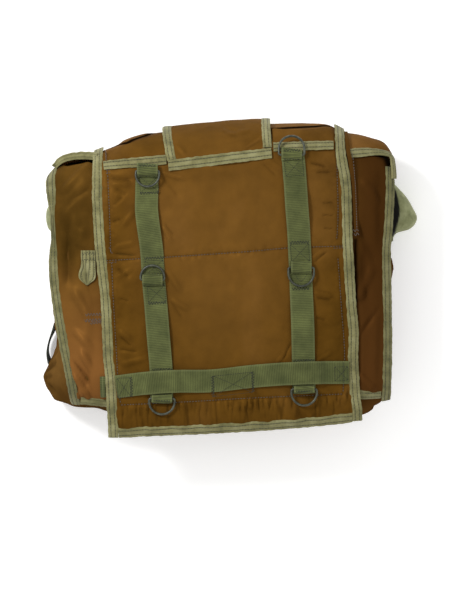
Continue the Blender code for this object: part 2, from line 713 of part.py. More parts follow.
def make_webbings():
    """Upright and cross webbings on the flap."""

    def left_lift(x, y):
        return strap_lift(LEFT_ARCHES, x, y, y)

    def right_lift(x, y):
        return strap_lift(RIGHT_ARCHES, x, y, y)

    for name, line, lift in (
        ("strap_left", STRAP_LEFT, left_lift),
        ("strap_right", STRAP_RIGHT, right_lift),
        ("cross_strap", CROSS_STRAP, cross_lift),
    ):
        strip(name, line, WEBBING_WIDTH, lift, WEBBING_THICK, "webbing", FLAP_FOOT, WEBBING_COLUMNS)

    def end_lift(x, y):
        return PANEL_LIFT + CLOTH_THICK + ON_CLOTH

    strip("cross_strap_end", CROSS_END_LINE, CROSS_END_WIDTH, end_lift, WEBBING_THICK, "webbing")


def make_ring(name, middle, width, height, way, loop_length):
    """Wire D-ring on its webbing, and the webbing loop over its straight bar."""
    x, y = middle
    base = flap_lift(x, y) + CLOTH_THICK + ON_CLOTH + WEBBING_THICK
    lift = base + RING_LIFT + WIRE / 2
    origin, across, up, normal = frame_at(*settle(x, y, lift, FLAP_FOOT), FLAP_FOOT)
    origin += normal * lift
    radius = (width - WIRE) / 2
    leg = height - WIRE - radius
    outline = [(-radius + RING_CORNER, 0), (0, 0), (radius - RING_CORNER, 0), (radius, RING_CORNER)]
    for i in range(RING_STEPS + 1):
        angle = math.pi * i / RING_STEPS
        outline.append((radius * math.cos(angle), leg + radius * math.sin(angle)))
    outline.append((-radius, RING_CORNER))
    curve = bpy.data.curves.new(f"ring_{name}", "CURVE")
    curve.dimensions = "3D"
    curve.bevel_depth = WIRE / 2 * MM
    curve.bevel_resolution = 2
    spline = curve.splines.new("POLY")
    spline.points.add(len(outline) - 1)
    spline.use_cyclic_u = True
    for point, (off_x, off_y) in zip(spline.points, outline):
        spot = (origin + across * off_x + up * way * off_y) * MM
        point.co = (*spot, 1)
    ring = bpy.data.objects.new(f"ring_{name}", curve)
    pack.objects.link(ring)
    dress(ring, "steel")

    def loop_lift(at_x, at_y):
        share = min(abs(at_y - y) / (loop_length / 2), 1.0)
        over = RING_LIFT + WIRE + LOOP_CLEAR
        under = flap_lift(at_x, at_y) + CLOTH_THICK + ON_CLOTH + WEBBING_THICK + ON_WEBBING
        return max(under, base + over) * (1 - ramp(share, 0.45, 1.0)) + under * ramp(share, 0.45, 1.0)

    line = ((x, y - loop_length / 2), (x, y), (x, y + loop_length / 2))
    strip(f"loop_{name}", line, LOOP_WIDTH, loop_lift, LOOP_THICK, "webbing", FLAP_FOOT)


def make_tab():
    """Pointed tape tab on the left of the front panel."""

    def tab_lift(x, y):
        return panel_lift(x, y) + CLOTH_THICK + ON_CLOTH

    strip("side_tab", TAB_LINE, 0, tab_lift, BINDING_THICK, "tape", columns=3, taper=TAB_HALF_WIDTHS)


def make_side_straps():
    """Canvas straps that fold out at the sides, and the strap loop at the lower left."""
    middle_z = (CANVAS_TOP_Z + CANVAS_LOW_Z) / 2
    for name, table, wall, side in (
        ("shoulder_strap_right", CANVAS_RIGHT, BELLY_RIGHT, 1),
        ("shoulder_strap_left", CANVAS_LEFT, BELLY_LEFT, -1),
    ):
        low, high = table[0][0], table[-1][0]

        def point_at(u, v, table=table, wall=wall, side=side, low=low, high=high):
            y = low + v * (high - low)
            angle = u * math.pi
            root = eased(wall, y) + side * (CANVAS_OFF_WALL - CANVAS_TUCK * u)
            reach = side * max(side * eased(table, y) - CANVAS_THICK, side * root + 1.0)
            x = root + (reach - root) * math.sin(angle) ** CANVAS_ROUNDNESS
            return Vector((x, y, middle_z + (CANVAS_TOP_Z - middle_z) * math.cos(angle)))

        bm = grid(*SHEET_STEPS["canvas"], point_at)
        if side < 0:
            bmesh.ops.reverse_faces(bm, faces=bm.faces)
        finish(name, bm, "canvas", CANVAS_THICK)

    def band_at(u, v):
        x, y = along(LOWER_STRAP, v)
        lean = LOWER_STRAP_LEAN * (1 - u) * (1 - math.sin(math.pi * v))
        return Vector((x + lean, y, LOWER_STRAP_LOW_Z + u * (LOWER_STRAP_HIGH_Z - LOWER_STRAP_LOW_Z)))

    finish("lower_strap_left", grid(2, STRIP_ROWS["lower_strap_left"], band_at), "webbing", WEBBING_THICK)


for old in list(bpy.data.objects):
    bpy.data.objects.remove(old)
pack = bpy.data.collections.new("packed_parachute")
bpy.context.scene.collection.children.link(pack)
make_body()
make_panel()
make_lid()
make_flap()
make_tongue()
make_webbings()
for ring_row in RINGS:
    make_ring(*ring_row)
make_tab()
make_side_straps()
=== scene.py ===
"""Filled cloth pack for a parachutist, closed and lying on its back, finished over its CAD frame.

Lengths in the tables are millimetres: x to the pack's right as seen from the front, y towards its
top, z up from its back.
"""

import math

import bpy
import numpy as np
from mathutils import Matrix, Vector, noise


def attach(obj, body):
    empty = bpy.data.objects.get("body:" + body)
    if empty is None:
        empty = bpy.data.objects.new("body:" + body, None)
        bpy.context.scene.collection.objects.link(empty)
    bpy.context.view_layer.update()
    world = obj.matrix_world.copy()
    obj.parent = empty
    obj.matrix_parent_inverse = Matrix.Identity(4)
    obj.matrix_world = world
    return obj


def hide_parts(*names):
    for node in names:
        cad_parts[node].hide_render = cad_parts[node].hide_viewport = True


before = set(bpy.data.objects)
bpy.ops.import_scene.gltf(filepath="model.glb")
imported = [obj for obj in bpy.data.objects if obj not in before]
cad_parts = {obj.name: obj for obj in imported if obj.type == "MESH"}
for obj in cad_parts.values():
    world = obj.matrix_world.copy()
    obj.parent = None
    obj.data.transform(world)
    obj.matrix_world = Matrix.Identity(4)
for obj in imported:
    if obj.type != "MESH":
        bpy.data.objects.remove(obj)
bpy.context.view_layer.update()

# Camera and light. The pack is seen from straight above and far off, so nothing converges.
# The light is a large soft one from the upper left, a weaker one from the right and a pale room.
MM = 0.001
PICTURE_HEIGHT = 678.0
PICTURE_MIDDLE = (-7.6, -25.4)
CAMERA_HEIGHT = 8.0
FRONT_HEIGHT = 0.1

bpy.ops.object.select_all(action="DESELECT")
bpy.ops.object.camera_add(location=(PICTURE_MIDDLE[0] * MM, PICTURE_MIDDLE[1] * MM, CAMERA_HEIGHT + FRONT_HEIGHT))
camera = bpy.context.object
camera.rotation_euler = (0, 0, 0)
camera.data.sensor_width = 36
camera.data.lens = 36 * CAMERA_HEIGHT / (PICTURE_HEIGHT * MM)
camera.data.clip_end = 40
bpy.context.scene.camera = camera

LIGHTS = (
    ("key", (-1.2, 0.95, 1.6), 0.5, 34.0),
    ("fill", (1.4, -0.2, 1.6), 1.2, 5.0),
    ("front", (0.1, -1.7, 1.2), 1.2, 5.0),
)
for light_name, place, size, power in LIGHTS:
    bpy.ops.object.light_add(type="AREA", location=place)
    lamp = bpy.context.object
    lamp.name = f"studio_{light_name}"
    lamp.data.size = size
    lamp.data.energy = power
    lamp.rotation_euler = (Vector((0, 0, 0.05)) - Vector(place)).to_track_quat("-Z", "Y").to_euler()
room = bpy.data.worlds.new("pale_room")
room.use_nodes = True
room.node_tree.nodes["Background"].inputs["Color"].default_value = (1.0, 1.0, 1.0, 1)
room.node_tree.nodes["Background"].inputs["Strength"].default_value = 0.66
bpy.context.scene.world = room
bpy.context.scene.view_settings.view_transform = "Standard"


def colour(code):
    """Linear colour of an sRGB hex value."""
    parts = [int(code[i:i + 2], 16) / 255 for i in (1, 3, 5)]
    return (*[c / 12.92 if c <= 0.04045 else ((c + 0.055) / 1.055) ** 2.4 for c in parts], 1.0)


def add(material, kind, inputs=None, **settings):
    """Node with its settings, and each input set or linked."""
    node = material.node_tree.nodes.new(kind)
    for key, value in settings.items():
        setattr(node, key, value)
    for key, value in (inputs or {}).items():
        if isinstance(value, bpy.types.NodeSocket):
            material.node_tree.links.new(value, node.inputs[key])
        else:
            node.inputs[key].default_value = value
    return node


# Floor: plain pale paper on a table that is lit a little from below, so the shadows stay pale.
bpy.ops.mesh.primitive_plane_add(size=12, location=(0, 0, 0))
floor = bpy.context.object
floor.name = "floor"
paper = bpy.data.materials.new("pale_paper")
paper.use_nodes = True
paper.node_tree.nodes["Principled BSDF"].inputs["Base Color"].default_value = colour("#FAFAF9")
paper.node_tree.nodes["Principled BSDF"].inputs["Roughness"].default_value = 0.9
paper.node_tree.nodes["Principled BSDF"].inputs["Emission Color"].default_value = (1.0, 1.0, 1.0, 1)
paper.node_tree.nodes["Principled BSDF"].inputs["Emission Strength"].default_value = 0.3
floor.data.materials.append(paper)

# Bag: the filled body of the pack, of brown nylon over soft stuffing. Its front is one rolled
# surface, which every sheet, tape and webbing on it follows at its own lift. The side cloth is cut
# long, so it bulges and creases between the front seam and the flat back.
CROWN_HEIGHT = 110.0
SEAM_HEIGHT = 84.0
CROWN_POWER = 2.6
END_DROP = 7.0
ROLL_HEIGHT = 46.0
ROLL_CORNER_RISE = 14.0
ROLL_REACH = 42.0
ROLL_CORNER_TUCK = 12.0
ROLL_FOOT = 8.0
MIDDLE_X = -13.0
HALF_WIDTH = 192.0
HALF_LENGTH = 165.0
BASE_SHARE = 0.93
BELLY_TUCK = 8.0
BODY_LIFT = -3.5
BODY_CUTS = 27
TOP_TURN = (
    (-212.1, 107.9), (-205.3, 118.1), (-197.4, 126.0), (-187.2, 132.8), (-171.4, 136.2),
    (-152.2, 139.0), (-135.3, 145.2), (-110.4, 155.4), (-90.1, 160.5), (-47.1, 165.5), (9.4, 170.6),
    (41.0, 171.8), (105.4, 171.2), (125.8, 162.7), (141.6, 159.9), (158.5, 155.4), (172.1, 149.7),
    (180.0, 137.3), (186.8, 121.5),
)
BAG_FOOT = (
    (-212.1, -126.2), (-197.4, -142.1), (-180.5, -145.4), (-142.0, -151.1), (-124.0, -166.0),
    (-92.3, -169.0), (9.4, -165.0), (77.2, -159.6), (128.0, -157.0), (145.0, -159.2), (157.4, -153.0),
    (166.4, -146.6), (183.4, -137.0),
)
FLAP_FOOT = ((-212.1, -205.4), (-139.8, -202.0), (9.4, -195.2), (146.1, -182.8), (183.4, -180.5))
SEAM_LEFT = (
    (-176.5, -142.9), (-182.7, -111.3), (-189.2, -79.7), (-194.6, -48.0), (-199.4, -16.4),
    (-201.7, 10.7), (-201.3, 42.4), (-203.6, 84.2), (-204.8, 110.0), (-203.2, 119.5), (-200.9, 124.6),
)
SEAM_RIGHT = (
    (174.6, -138.4), (175.5, -120.3), (176.3, -75.1), (175.9, -29.9), (174.8, 31.1), (176.3, 49.2),
    (178.9, 94.4), (178.5, 124.9),
)
BELLY_LEFT = (
    (-149.7, -191.8), (-138.4, -198.5), (-130.5, -203.6), (-119.2, -210.6), (-109.0, -210.5),
    (-98.9, -206.5), (-84.2, -201.1), (-48.0, -200.8), (42.4, -201.9), (121.5, -204.2),
)
BELLY_RIGHT = (
    (-142.9, 168.7), (-120.3, 178.9), (-75.1, 179.4), (-25.4, 179.4), (11.9, 181.7),
    (49.2, 180.0), (121.5, 180.0),
)


# Pinches of the lower left side: start y and z, end y and z, half width and depth.
SIDE_PINCHES = (
    ((-98.0, 60.0), (-106.0, 30.0), 4.5, 4.0),
    ((-112.0, 58.0), (-114.0, 38.0), 3.0, 3.0),
    ((-128.0, 52.0), (-118.0, 30.0), 4.0, 3.2),
    ((-86.0, 56.0), (-92.0, 34.0), 4.0, 2.4),
)
# Gaps between the panel and the lid's bindings, where the cloth beneath falls away: line and depth.
GROOVE_HALF_WIDTH = 3.2
GROOVES = (
    (((-199.0, 124.0), (-190.0, 129.0), (-176.0, 131.0), (-152.0, 131.5)), 11.0),
    (((160.0, 137.0), (170.0, 135.0), (175.5, 129.5), (178.5, 121.5)), 6.0),
    (((178.0, 134.0), (181.5, 126.0), (182.0, 115.0)), 1.0),
)
# Extra fullness of the bag past its seams: at the foot by x, and at the two sides by y.
FOOT_FULLNESS = (
    (-205.0, 0.0), (-190.0, 2.0), (-176.0, 4.0), (-145.0, 4.0), (-125.0, 1.0), (120.0, 1.0), (143.0, 3.4),
    (155.0, 4.2), (164.0, 4.8), (168.5, 3.6), (173.0, 0.8), (178.0, 0.0),
)
LEFT_FULLNESS = ((-110.0, 3.0), (-70.0, 1.0), (-46.0, 2.5), (-23.0, 3.8), (-5.0, 0.0), (60.0, 0.0))
RIGHT_FULLNESS = (
    (-60.0, 0.0), (-4.0, 0.5), (3.0, 2.0), (12.0, 2.8), (21.0, 2.0), (30.0, 0.0), (80.0, 0.0), (106.0, 0.5),
    (117.0, 3.0), (136.0, 3.6), (150.0, 2.0), (166.0, 0.0),
)


def eased(table, at):
    """Second column of a table at places in its first, on a smooth curve through the rows."""
    rows = np.array(table, float)
    x, y = rows[np.argsort(rows[:, 0])].T
    at = np.clip(at, x[0], x[-1])
    i = np.clip(np.searchsorted(x, at, side="right") - 1, 0, len(x) - 2)
    low = np.maximum(np.arange(len(x)) - 1, 0)
    high = np.minimum(np.arange(len(x)) + 1, len(x) - 1)
    slope = (y[high] - y[low]) / (x[high] - x[low])
    span = x[i + 1] - x[i]
    t = (at - x[i]) / span
    start = (2 * t**3 - 3 * t**2 + 1) * y[i] + (t**3 - 2 * t**2 + t) * span * slope[i]
    return start + (3 * t**2 - 2 * t**3) * y[i + 1] + (t**3 - t**2) * span * slope[i + 1]


def ramp(value, low, high):
    """0 below low, 1 above high, and a soft step between them."""
    share = np.clip((value - low) / (high - low), 0, 1)
    return share * share * (3 - 2 * share)


def lumps(x, y, size, layer):
    """Smooth unevenness from -1 to 1, in lumps of a size in millimetres."""
    flat = np.stack([np.ravel(x), np.ravel(y)], 1) / size
    return np.reshape([noise.noise((a, b, layer)) for a, b in flat.tolist()], np.shape(x))


def crown(x, y):
    across = np.minimum(np.abs((x - MIDDLE_X) / HALF_WIDTH), 1.1)
    up = np.minimum(np.abs(y / HALF_LENGTH), 1.1)
    return SEAM_HEIGHT + (CROWN_HEIGHT - SEAM_HEIGHT) * (1 - across**CROWN_POWER) - END_DROP * up * up


def roll(x):
    corner = np.minimum(np.abs((x - MIDDLE_X) / HALF_WIDTH), 1.1) ** 4
    return ROLL_REACH - ROLL_CORNER_TUCK * corner, ROLL_HEIGHT + ROLL_CORNER_RISE * corner


def skin(x, travel, foot):
    """Points of the stuffed surface. Travel is y on the flat, and follows the roll at both ends."""
    reach, height = roll(x)
    top_start = eased(TOP_TURN, x) - reach
    foot_start = eased(foot, x) + reach
    at_top = travel > top_start
    past = np.where(at_top, travel - top_start, np.maximum(foot_start - travel, 0))
    angle = past / reach
    start = np.where(at_top, top_start, foot_start)
    y = np.where(past > 0, start + np.where(at_top, 1, -1) * reach * np.sin(angle), travel)
    drop = np.where(angle < math.pi / 2, crown(x, y) - height, height - ROLL_FOOT)
    z = np.where(past > 0, height + drop * np.cos(angle), crown(x, y))
    return np.stack(np.broadcast_arrays(x, y, z), -1)


def travel_of(x, y, foot):
    """Travel that reaches a y in plan. A y past the turn goes on round the roll."""
    reach = roll(x)[0]
    travel = y + 0 * x
    for side, turn in ((1, eased(TOP_TURN, x)), (-1, eased(foot, x))):
        past = side * (y - turn)
        angle = np.where(past < 0, np.arcsin(np.clip(1 + past / reach, -1, 1)), math.pi / 2 + past / reach)
        travel = np.where(past > -reach, turn + side * reach * (angle - 1), travel)
    return travel


def unit(vectors):
    return vectors / np.linalg.norm(vectors, axis=-1, keepdims=True)


def frame_at(x, travel, foot):
    """Points of the stuffed surface, with the directions across, up the front and outwards."""
    step = 0.5
    across = unit(skin(x + step, travel, foot) - skin(x - step, travel, foot))
    up = unit(skin(x, travel + step, foot) - skin(x, travel - step, foot))
    return skin(x, travel, foot), across, up, unit(np.cross(across, up))


def deselect():
    bpy.ops.object.select_all(action="DESELECT")


def vertices_of(piece):
    flat = np.empty(len(piece.data.vertices) * 3)
    piece.data.vertices.foreach_get("co", flat)
    return flat.reshape(-1, 3)


def put_vertices(piece, points):
    piece.data.vertices.foreach_set("co", np.ascontiguousarray(points, float).ravel())
    piece.data.update()


def normals_of(piece):
    flat = np.empty(len(piece.data.vertices) * 3)
    piece.data.vertices.foreach_get("normal", flat)
    return flat.reshape(-1, 3)


def apply_modifiers(piece):
    deselect()
    piece.select_set(True)
    bpy.context.view_layer.objects.active = piece
    for modifier in list(piece.modifiers):
        bpy.ops.object.modifier_apply(modifier=modifier.name)


deselect()
bpy.ops.mesh.primitive_cube_add(size=2)
bag = bpy.context.object
bag.name = bag.data.name = "filled_bag"
bpy.ops.object.mode_set(mode="EDIT")
bpy.ops.mesh.select_all(action="SELECT")
bpy.ops.mesh.subdivide(number_cuts=BODY_CUTS)
bpy.ops.object.mode_set(mode="OBJECT")
u, v, w = vertices_of(bag).T
u, v = (0.3 * share + 0.7 * np.sin(share * math.pi / 2) for share in (u, v))
y = v * HALF_LENGTH
for _ in range(4):
    left = eased([(p[1], p[0]) for p in SEAM_LEFT], y)
    right = eased([(p[1], p[0]) for p in SEAM_RIGHT], y)
    x = left + (u + 1) / 2 * (right - left)
    past_square = roll(x)[0] * (math.pi / 2 - 1)
    low = eased(BAG_FOOT, x) - past_square
    high = eased(TOP_TURN, x) + past_square
    travel = low + (v + 1) / 2 * (high - low)
    y = skin(x, travel, BAG_FOOT)[:, 1]
point, _, _, normal = frame_at(x, travel, BAG_FOOT)
rim = point + normal * BODY_LIFT
base = np.stack([MIDDLE_X + BASE_SHARE * (rim[:, 0] - MIDDLE_X), BASE_SHARE * rim[:, 1], 0 * y], 1)
middle_y = (rim[:, 1] + base[:, 1]) / 2
belly_left = np.minimum(eased(BELLY_LEFT, middle_y), rim[:, 0])
belly_right = np.maximum(eased(BELLY_RIGHT, middle_y), rim[:, 0])
belly = np.where(u < 0, belly_left, belly_right)
at_side = np.abs(u) > 0.99
base[:, 0] = np.where(at_side, belly - np.sign(u) * BELLY_TUCK, base[:, 0])
middle = (rim + base) / 2
bulge = np.zeros_like(middle)
bulge[:, 0] = np.where(at_side, belly - middle[:, 0], 0)
side = ((1 - w) / 2)[:, None]
put_vertices(bag, ((1 - side) ** 2 * rim + 2 * side * (1 - side) * (middle + 2 * bulge) + side**2 * base) * MM)
smooth = bag.modifiers.new("soft", "SUBSURF")
smooth.levels = smooth.render_levels = 2
apply_modifiers(bag)
bpy.ops.object.shade_smooth()

# Creases of the side cloth: they hang from the front seam and fade above the flat back.
places = vertices_of(bag) / MM
outward = normals_of(bag)
round_bag = np.arctan2(places[:, 1] / HALF_LENGTH, (places[:, 0] - MIDDLE_X) / HALF_WIDTH) * 190
wall = np.clip(1.3 - np.abs(outward[:, 2]) * 1.1, 0, 1) * ramp(places[:, 2], 1.0, 14.0)
wall *= 1 - ramp(places[:, 2], 60.0, 76.0)
creases = 2.4 * lumps(round_bag, places[:, 2] * 0.45 + round_bag * 0.12, 34.0, 3.1) - 0.8
creases += 1.6 * lumps(round_bag * 1.2, places[:, 2] * 0.6, 13.0, 7.7)
creases -= 2.6 * np.exp(-((lumps(round_bag, places[:, 2] * 0.5, 40.0, 1.4) / 0.07) ** 2))
pinched = np.zeros(len(places))
for (y0, z0), (y1, z1), half_width, depth in SIDE_PINCHES:
    run = np.array((y1 - y0, z1 - z0))
    share = np.clip(((places[:, 1] - y0) * run[0] + (places[:, 2] - z0) * run[1]) / (run @ run), 0, 1)
    off = np.hypot(places[:, 1] - y0 - share * run[0], places[:, 2] - z0 - share * run[1])
    pinched -= depth * np.exp(-((off / half_width) ** 2)) * (places[:, 0] < -150)
pushed = outward * (wall * (creases + pinched))[:, None]
pushed[:, 1] -= eased(FOOT_FULLNESS, places[:, 0]) * ramp(-places[:, 1], 112.0, 138.0)
at_wall = ramp(np.abs(places[:, 0]), 160.0, 176.0) * ramp(places[:, 2], 4.0, 20.0)
pushed[:, 0] -= at_wall * (places[:, 0] < 0) * eased(LEFT_FULLNESS, places[:, 1])
pushed[:, 0] += at_wall * (places[:, 0] > 0) * eased(RIGHT_FULLNESS, places[:, 1])
# Painted shade: the side cloth is darkened down in its creases and pinches, and to near black along the grooves under
# the lid's bindings.
bag_painted_shade = np.clip(-wall * (creases + pinched) / 12.0, 0, 0.35)
for line, depth in GROOVES:
    line = np.asarray(line)
    for (x0, y0), (x1, y1) in zip(line, line[1:]):
        run = np.array((x1 - x0, y1 - y0))
        share = np.clip(((places[:, 0] - x0) * run[0] + (places[:, 1] - y0) * run[1]) / (run @ run), 0, 1)
        off = np.hypot(places[:, 0] - x0 - share * run[0], places[:, 1] - y0 - share * run[1])
        here = np.exp(-((off / GROOVE_HALF_WIDTH) ** 2)) * (places[:, 2] > 40)
        bag_painted_shade = np.maximum(bag_painted_shade, np.minimum(1.5 * here, 1.0))
        pushed[:, 2] = np.minimum(pushed[:, 2], -depth * here)
put_vertices(bag, (places + pushed) * MM)
bag.data.attributes.new("painted_shade", "FLOAT", "POINT").data.foreach_set("value", bag_painted_shade.astype(np.float32))

# Nylon: plain-woven, dyed brown and lightly proofed. It has a soft satin sheen and broad uneven tones where it is
# pulled over the stuffing, their lighter streaks partly painted sheen, and the right side of the pack is darkened with
# painted shade.
RIGHT_SIDE_SHADE = (0.10, 0.15)


def woven_nylon(name, dark, middle_tone, light, right_shade=0.0, low_side=0.0, middle_highlight=0.0, satin=0.12):
    made = bpy.data.materials.new(name)
    made.use_nodes = True
    shader = made.node_tree.nodes["Principled BSDF"]
    where = add(made, "ShaderNodeTexCoord").outputs["Object"]
    # Stretched across the cloth on a slant, as the pull of the stuffing runs; its lighter streaks are partly painted
    # sheen.
    slant = add(made, "ShaderNodeMapping", {"Vector": where, "Rotation": (0, 0, 0.6), "Scale": (1.0, 0.55, 1.0)})
    broad = add(made, "ShaderNodeTexNoise", {
        "Vector": slant.outputs["Vector"], "Scale": 1 / 0.09, "Detail": 3.0, "Roughness": 0.5,
        "Distortion": 0.4,
    })
    tones = add(made, "ShaderNodeValToRGB", {"Fac": broad.outputs["Fac"]})
    tones.color_ramp.elements[0].position = 0.32
    tones.color_ramp.elements[0].color = colour(dark)
    tones.color_ramp.elements[1].position = 0.66
    tones.color_ramp.elements[1].color = colour(light)
    tones.color_ramp.elements.new(0.5).color = colour(middle_tone)
    soiled = add(made, "ShaderNodeTexNoise", {
        "Vector": where, "Scale": 1 / 0.022, "Detail": 4.0, "Roughness": 0.55,
    })
    paler = add(made, "ShaderNodeMapRange", {
        "Value": soiled.outputs["Fac"], "From Min": 0.35, "From Max": 0.65, "To Min": 0.84, "To Max": 1.11,
    })
    dressed = add(made, "ShaderNodeVectorMath", {0: tones.outputs["Color"]}, operation="SCALE")
    made.node_tree.links.new(paler.outputs["Result"], dressed.inputs["Scale"])
    across = add(made, "ShaderNodeSeparateXYZ", {"Vector": where})
    # Painted shade: the right side of the pack is darker, as the light falls from the left.
    right = add(made, "ShaderNodeMapRange", {
        "Value": across.outputs["X"], "From Min": RIGHT_SIDE_SHADE[0], "From Max": RIGHT_SIDE_SHADE[1],
        "To Max": right_shade,
    })
    low = add(made, "ShaderNodeMapRange", {
        "Value": across.outputs["Y"], "From Min": 0.02, "From Max": -0.10, "To Max": low_side,
    })
    warmed = add(made, "ShaderNodeMix", {
        0: low.outputs["Result"], 6: dressed.outputs["Vector"], 7: colour("#7D5229"),
    }, data_type="RGBA")
    # Painted highlight: the middle of the front is paler, where the satin catches the light.
    middle = add(made, "ShaderNodeMapping", {
        "Vector": where, "Location": (0.05, -0.25, 0), "Scale": (1 / 0.13, 1 / 0.19, 0),
    })
    round_middle = add(made, "ShaderNodeTexGradient", {"Vector": middle.outputs["Vector"]}, gradient_type="SPHERICAL")
    highlight_share = add(made, "ShaderNodeMapRange", {"Value": round_middle.outputs["Fac"], "From Max": 0.6, "To Max": middle_highlight})
    highlighted = add(made, "ShaderNodeMix", {
        0: highlight_share.outputs["Result"], 6: warmed.outputs[2], 7: colour("#7A5527"),
    }, data_type="RGBA")
    shaded_right = add(made, "ShaderNodeMix", {
        0: right.outputs["Result"], 6: highlighted.outputs[2], 7: colour("#40260E"),
    }, data_type="RGBA")
    sewn = add(made, "ShaderNodeAttribute", attribute_name="sewn").outputs["Fac"]
    seam_tone = add(made, "ShaderNodeMix", {0: sewn, 6: shaded_right.outputs[2], 7: colour("#241808")}, data_type="RGBA")
    # Painted shade: the cloth is darkened to near black down in its deep folds, gaps and hollows, where little light
    # reaches.
    painted_shade = add(made, "ShaderNodeAttribute", attribute_name="painted_shade").outputs["Fac"]
    with_painted_shade = add(made, "ShaderNodeMix", {
        0: painted_shade, 6: seam_tone.outputs[2], 7: colour("#0C0703"),
    }, data_type="RGBA")
    made.node_tree.links.new(with_painted_shade.outputs[2], shader.inputs["Base Color"])
    # The weave is 0.4 mm, too fine to show, so its grain is drawn at 1.2 mm and very low.
    grain = add(made, "ShaderNodeTexNoise", {"Vector": where, "Scale": 1 / 0.0012, "Detail": 1.0})
    slack = add(made, "ShaderNodeTexNoise", {
        "Vector": slant.outputs["Vector"], "Scale": 1 / 0.026, "Detail": 2.0, "Roughness": 0.45,
    })
    waves = add(made, "ShaderNodeBump", {"Height": slack.outputs["Fac"], "Strength": 0.5, "Distance": 0.004})
    relief = add(made, "ShaderNodeBump", {
        "Height": grain.outputs["Fac"], "Strength": 0.05, "Distance": 0.0003,
        "Normal": waves.outputs["Normal"],
    })
    made.node_tree.links.new(relief.outputs["Normal"], shader.inputs["Normal"])
    gloss = add(made, "ShaderNodeMapRange", {
        "Value": broad.outputs["Fac"], "From Min": 0.3, "From Max": 0.7, "To Min": 0.52, "To Max": 0.44,
    })
    made.node_tree.links.new(gloss.outputs["Result"], shader.inputs["Roughness"])
    # The dyed filaments glint in the cloth's own brown, so the gloss is part metallic and hardly white.
    glint = add(made, "ShaderNodeMapRange", {"Value": painted_shade, "To Min": satin, "To Max": 0.0})
    made.node_tree.links.new(glint.outputs["Result"], shader.inputs["Metallic"])
    shader.inputs["Specular IOR Level"].default_value = 0.0
    return made


bag_nylon = woven_nylon("bag_woven_nylon", "#3C2810", "#513817", "#614520", 0.7, satin=0.0)
bag.data.materials.append(bag_nylon)
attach(bag, "root")
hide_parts("pack_body")

# Front panel: one sheet of nylon sewn to the side cloth in a bound seam. Only the parts beside the
# flap show, and they crease from the flap's edges outwards, where the stuffing pushes them up.
CLOTH_THICK = 1.2
BINDING_THICK = 2.0
SEAM_TAPE_WIDTH = 8.2
INTO_TAPE = 1.4
PANEL_LIFT = 0.0
SEAM_TAPE_LIFT = -0.2
SEAM_FOOT = (
    (-170.9, -137.4), (-157.9, -138.3), (-140.2, -140.4), (-35.8, -139.0), (77.2, -134.7),
    (145.0, -132.4), (168.7, -132.0),
)
PANEL_TOP = (
    (-196.8, 119.8), (-187.2, 125.4), (-173.7, 127.7), (-152.2, 128.5), (-92.3, 132.8), (20.7, 141.8),
    (124.6, 138.4), (173.2, 130.5),
)
UNDER_LID_CORNERS = ((-197.5, 127.6), (181.0, 131.0))
# Share of a tape's line, and how far it stands up there: degrees, below nought on its right edge.
NO_TURN = ((0.0, 0.0), (1.0, 0.0))
SEAM_FOOT_TURN = ((0.0, 40.0), (0.12, 40.0), (0.3, 0.0), (1.0, 0.0))
SEAM_FOOT_OFF = ((0.0, -1.0), (0.12, -1.2), (0.3, -2.7), (1.0, -2.7))
SEAM_FOOT_HALF_WIDTHS = ((0.0, 3.3), (0.2, 3.4), (0.35, 4.1), (1.0, 4.1))
# Half width of the left binding, which is seen on edge where it twists, half way up.
SEAM_LEFT_HALF_WIDTHS = (
    (0.0, 4.1), (0.52, 4.1), (0.6, 3.6), (0.66, 1.7), (0.72, 1.3), (0.77, 1.8), (0.81, 3.4),
    (0.86, 4.6), (0.92, 4.8), (1.0, 4.2),
)
# Start x, start y, end x, end y, half width, and height, below nought for a trough.
PANEL_FOLDS = (
    ((-162.4, 121.5), (-191.8, 62.7), 9.0, 2.2),
    ((-180.5, 46.9), (-187.2, -5.1), 6.5, -2.4),
    ((-166.9, 55.9), (-171.4, 35.6), 8.0, 1.6),
    ((-151.1, -25.4), (-175.9, -106.8), 9.0, 1.8),
    ((-145.4, -76.3), (-168.0, -129.4), 5.5, -2.2),
    ((-153.3, -118.1), (-178.2, -133.9), 5.0, 1.8),
    ((154.0, 127.1), (160.8, 33.3), 9.0, 1.8),
    ((149.5, 31.1), (151.8, -25.4), 6.0, -2.2),
    ((165.3, -25.4), (158.5, -122.6), 7.0, 1.6),
)
PANEL_FINE_FOLDS = (
    ((-177.1, -95.5), (-152.2, -132.8), 2.6, -2.2),
    ((-169.2, -84.2), (-145.4, -124.9), 3.0, 2.2),
    ((-179.3, -109.0), (-160.1, -138.4), 2.4, 2.0),
    ((-185.0, -100.0), (-171.4, -136.2), 2.0, -1.6),
    ((-157.9, -106.8), (-144.3, -133.9), 1.8, -1.6),
    ((-178.2, -14.1), (-160.1, -45.8), 4.0, 1.6),
    ((-183.9, 60.5), (-189.5, 17.5), 4.6, -1.3),
    ((-175.9, 71.8), (-181.6, 22.0), 4.6, 1.2),
    ((-166.9, 17.5), (-153.3, -32.2), 3.4, -1.8),
    ((-191.8, 96.6), (-157.9, 130.5), 3.6, 1.8),
    ((-189.5, 80.8), (-162.4, 101.1), 3.4, -1.2),
    ((-177.1, -59.3), (-153.3, -84.2), 3.2, 1.4),
    ((147.2, 110.2), (167.6, 80.8), 4.0, 1.4),
    ((142.7, 59.3), (160.8, 17.5), 4.0, -1.6),
    ((158.5, 10.7), (142.7, -25.4), 4.2, 1.8),
    ((147.2, -61.6), (167.6, -32.2), 3.0, -1.4),
    ((140.5, -106.8), (160.8, -127.1), 3.0, 1.4),
    ((138.9, 35.6), (139.8, -25.4), 2.0, -2.6),
    ((140.0, -25.4), (142.9, -121.5), 1.6, -2.0),
)
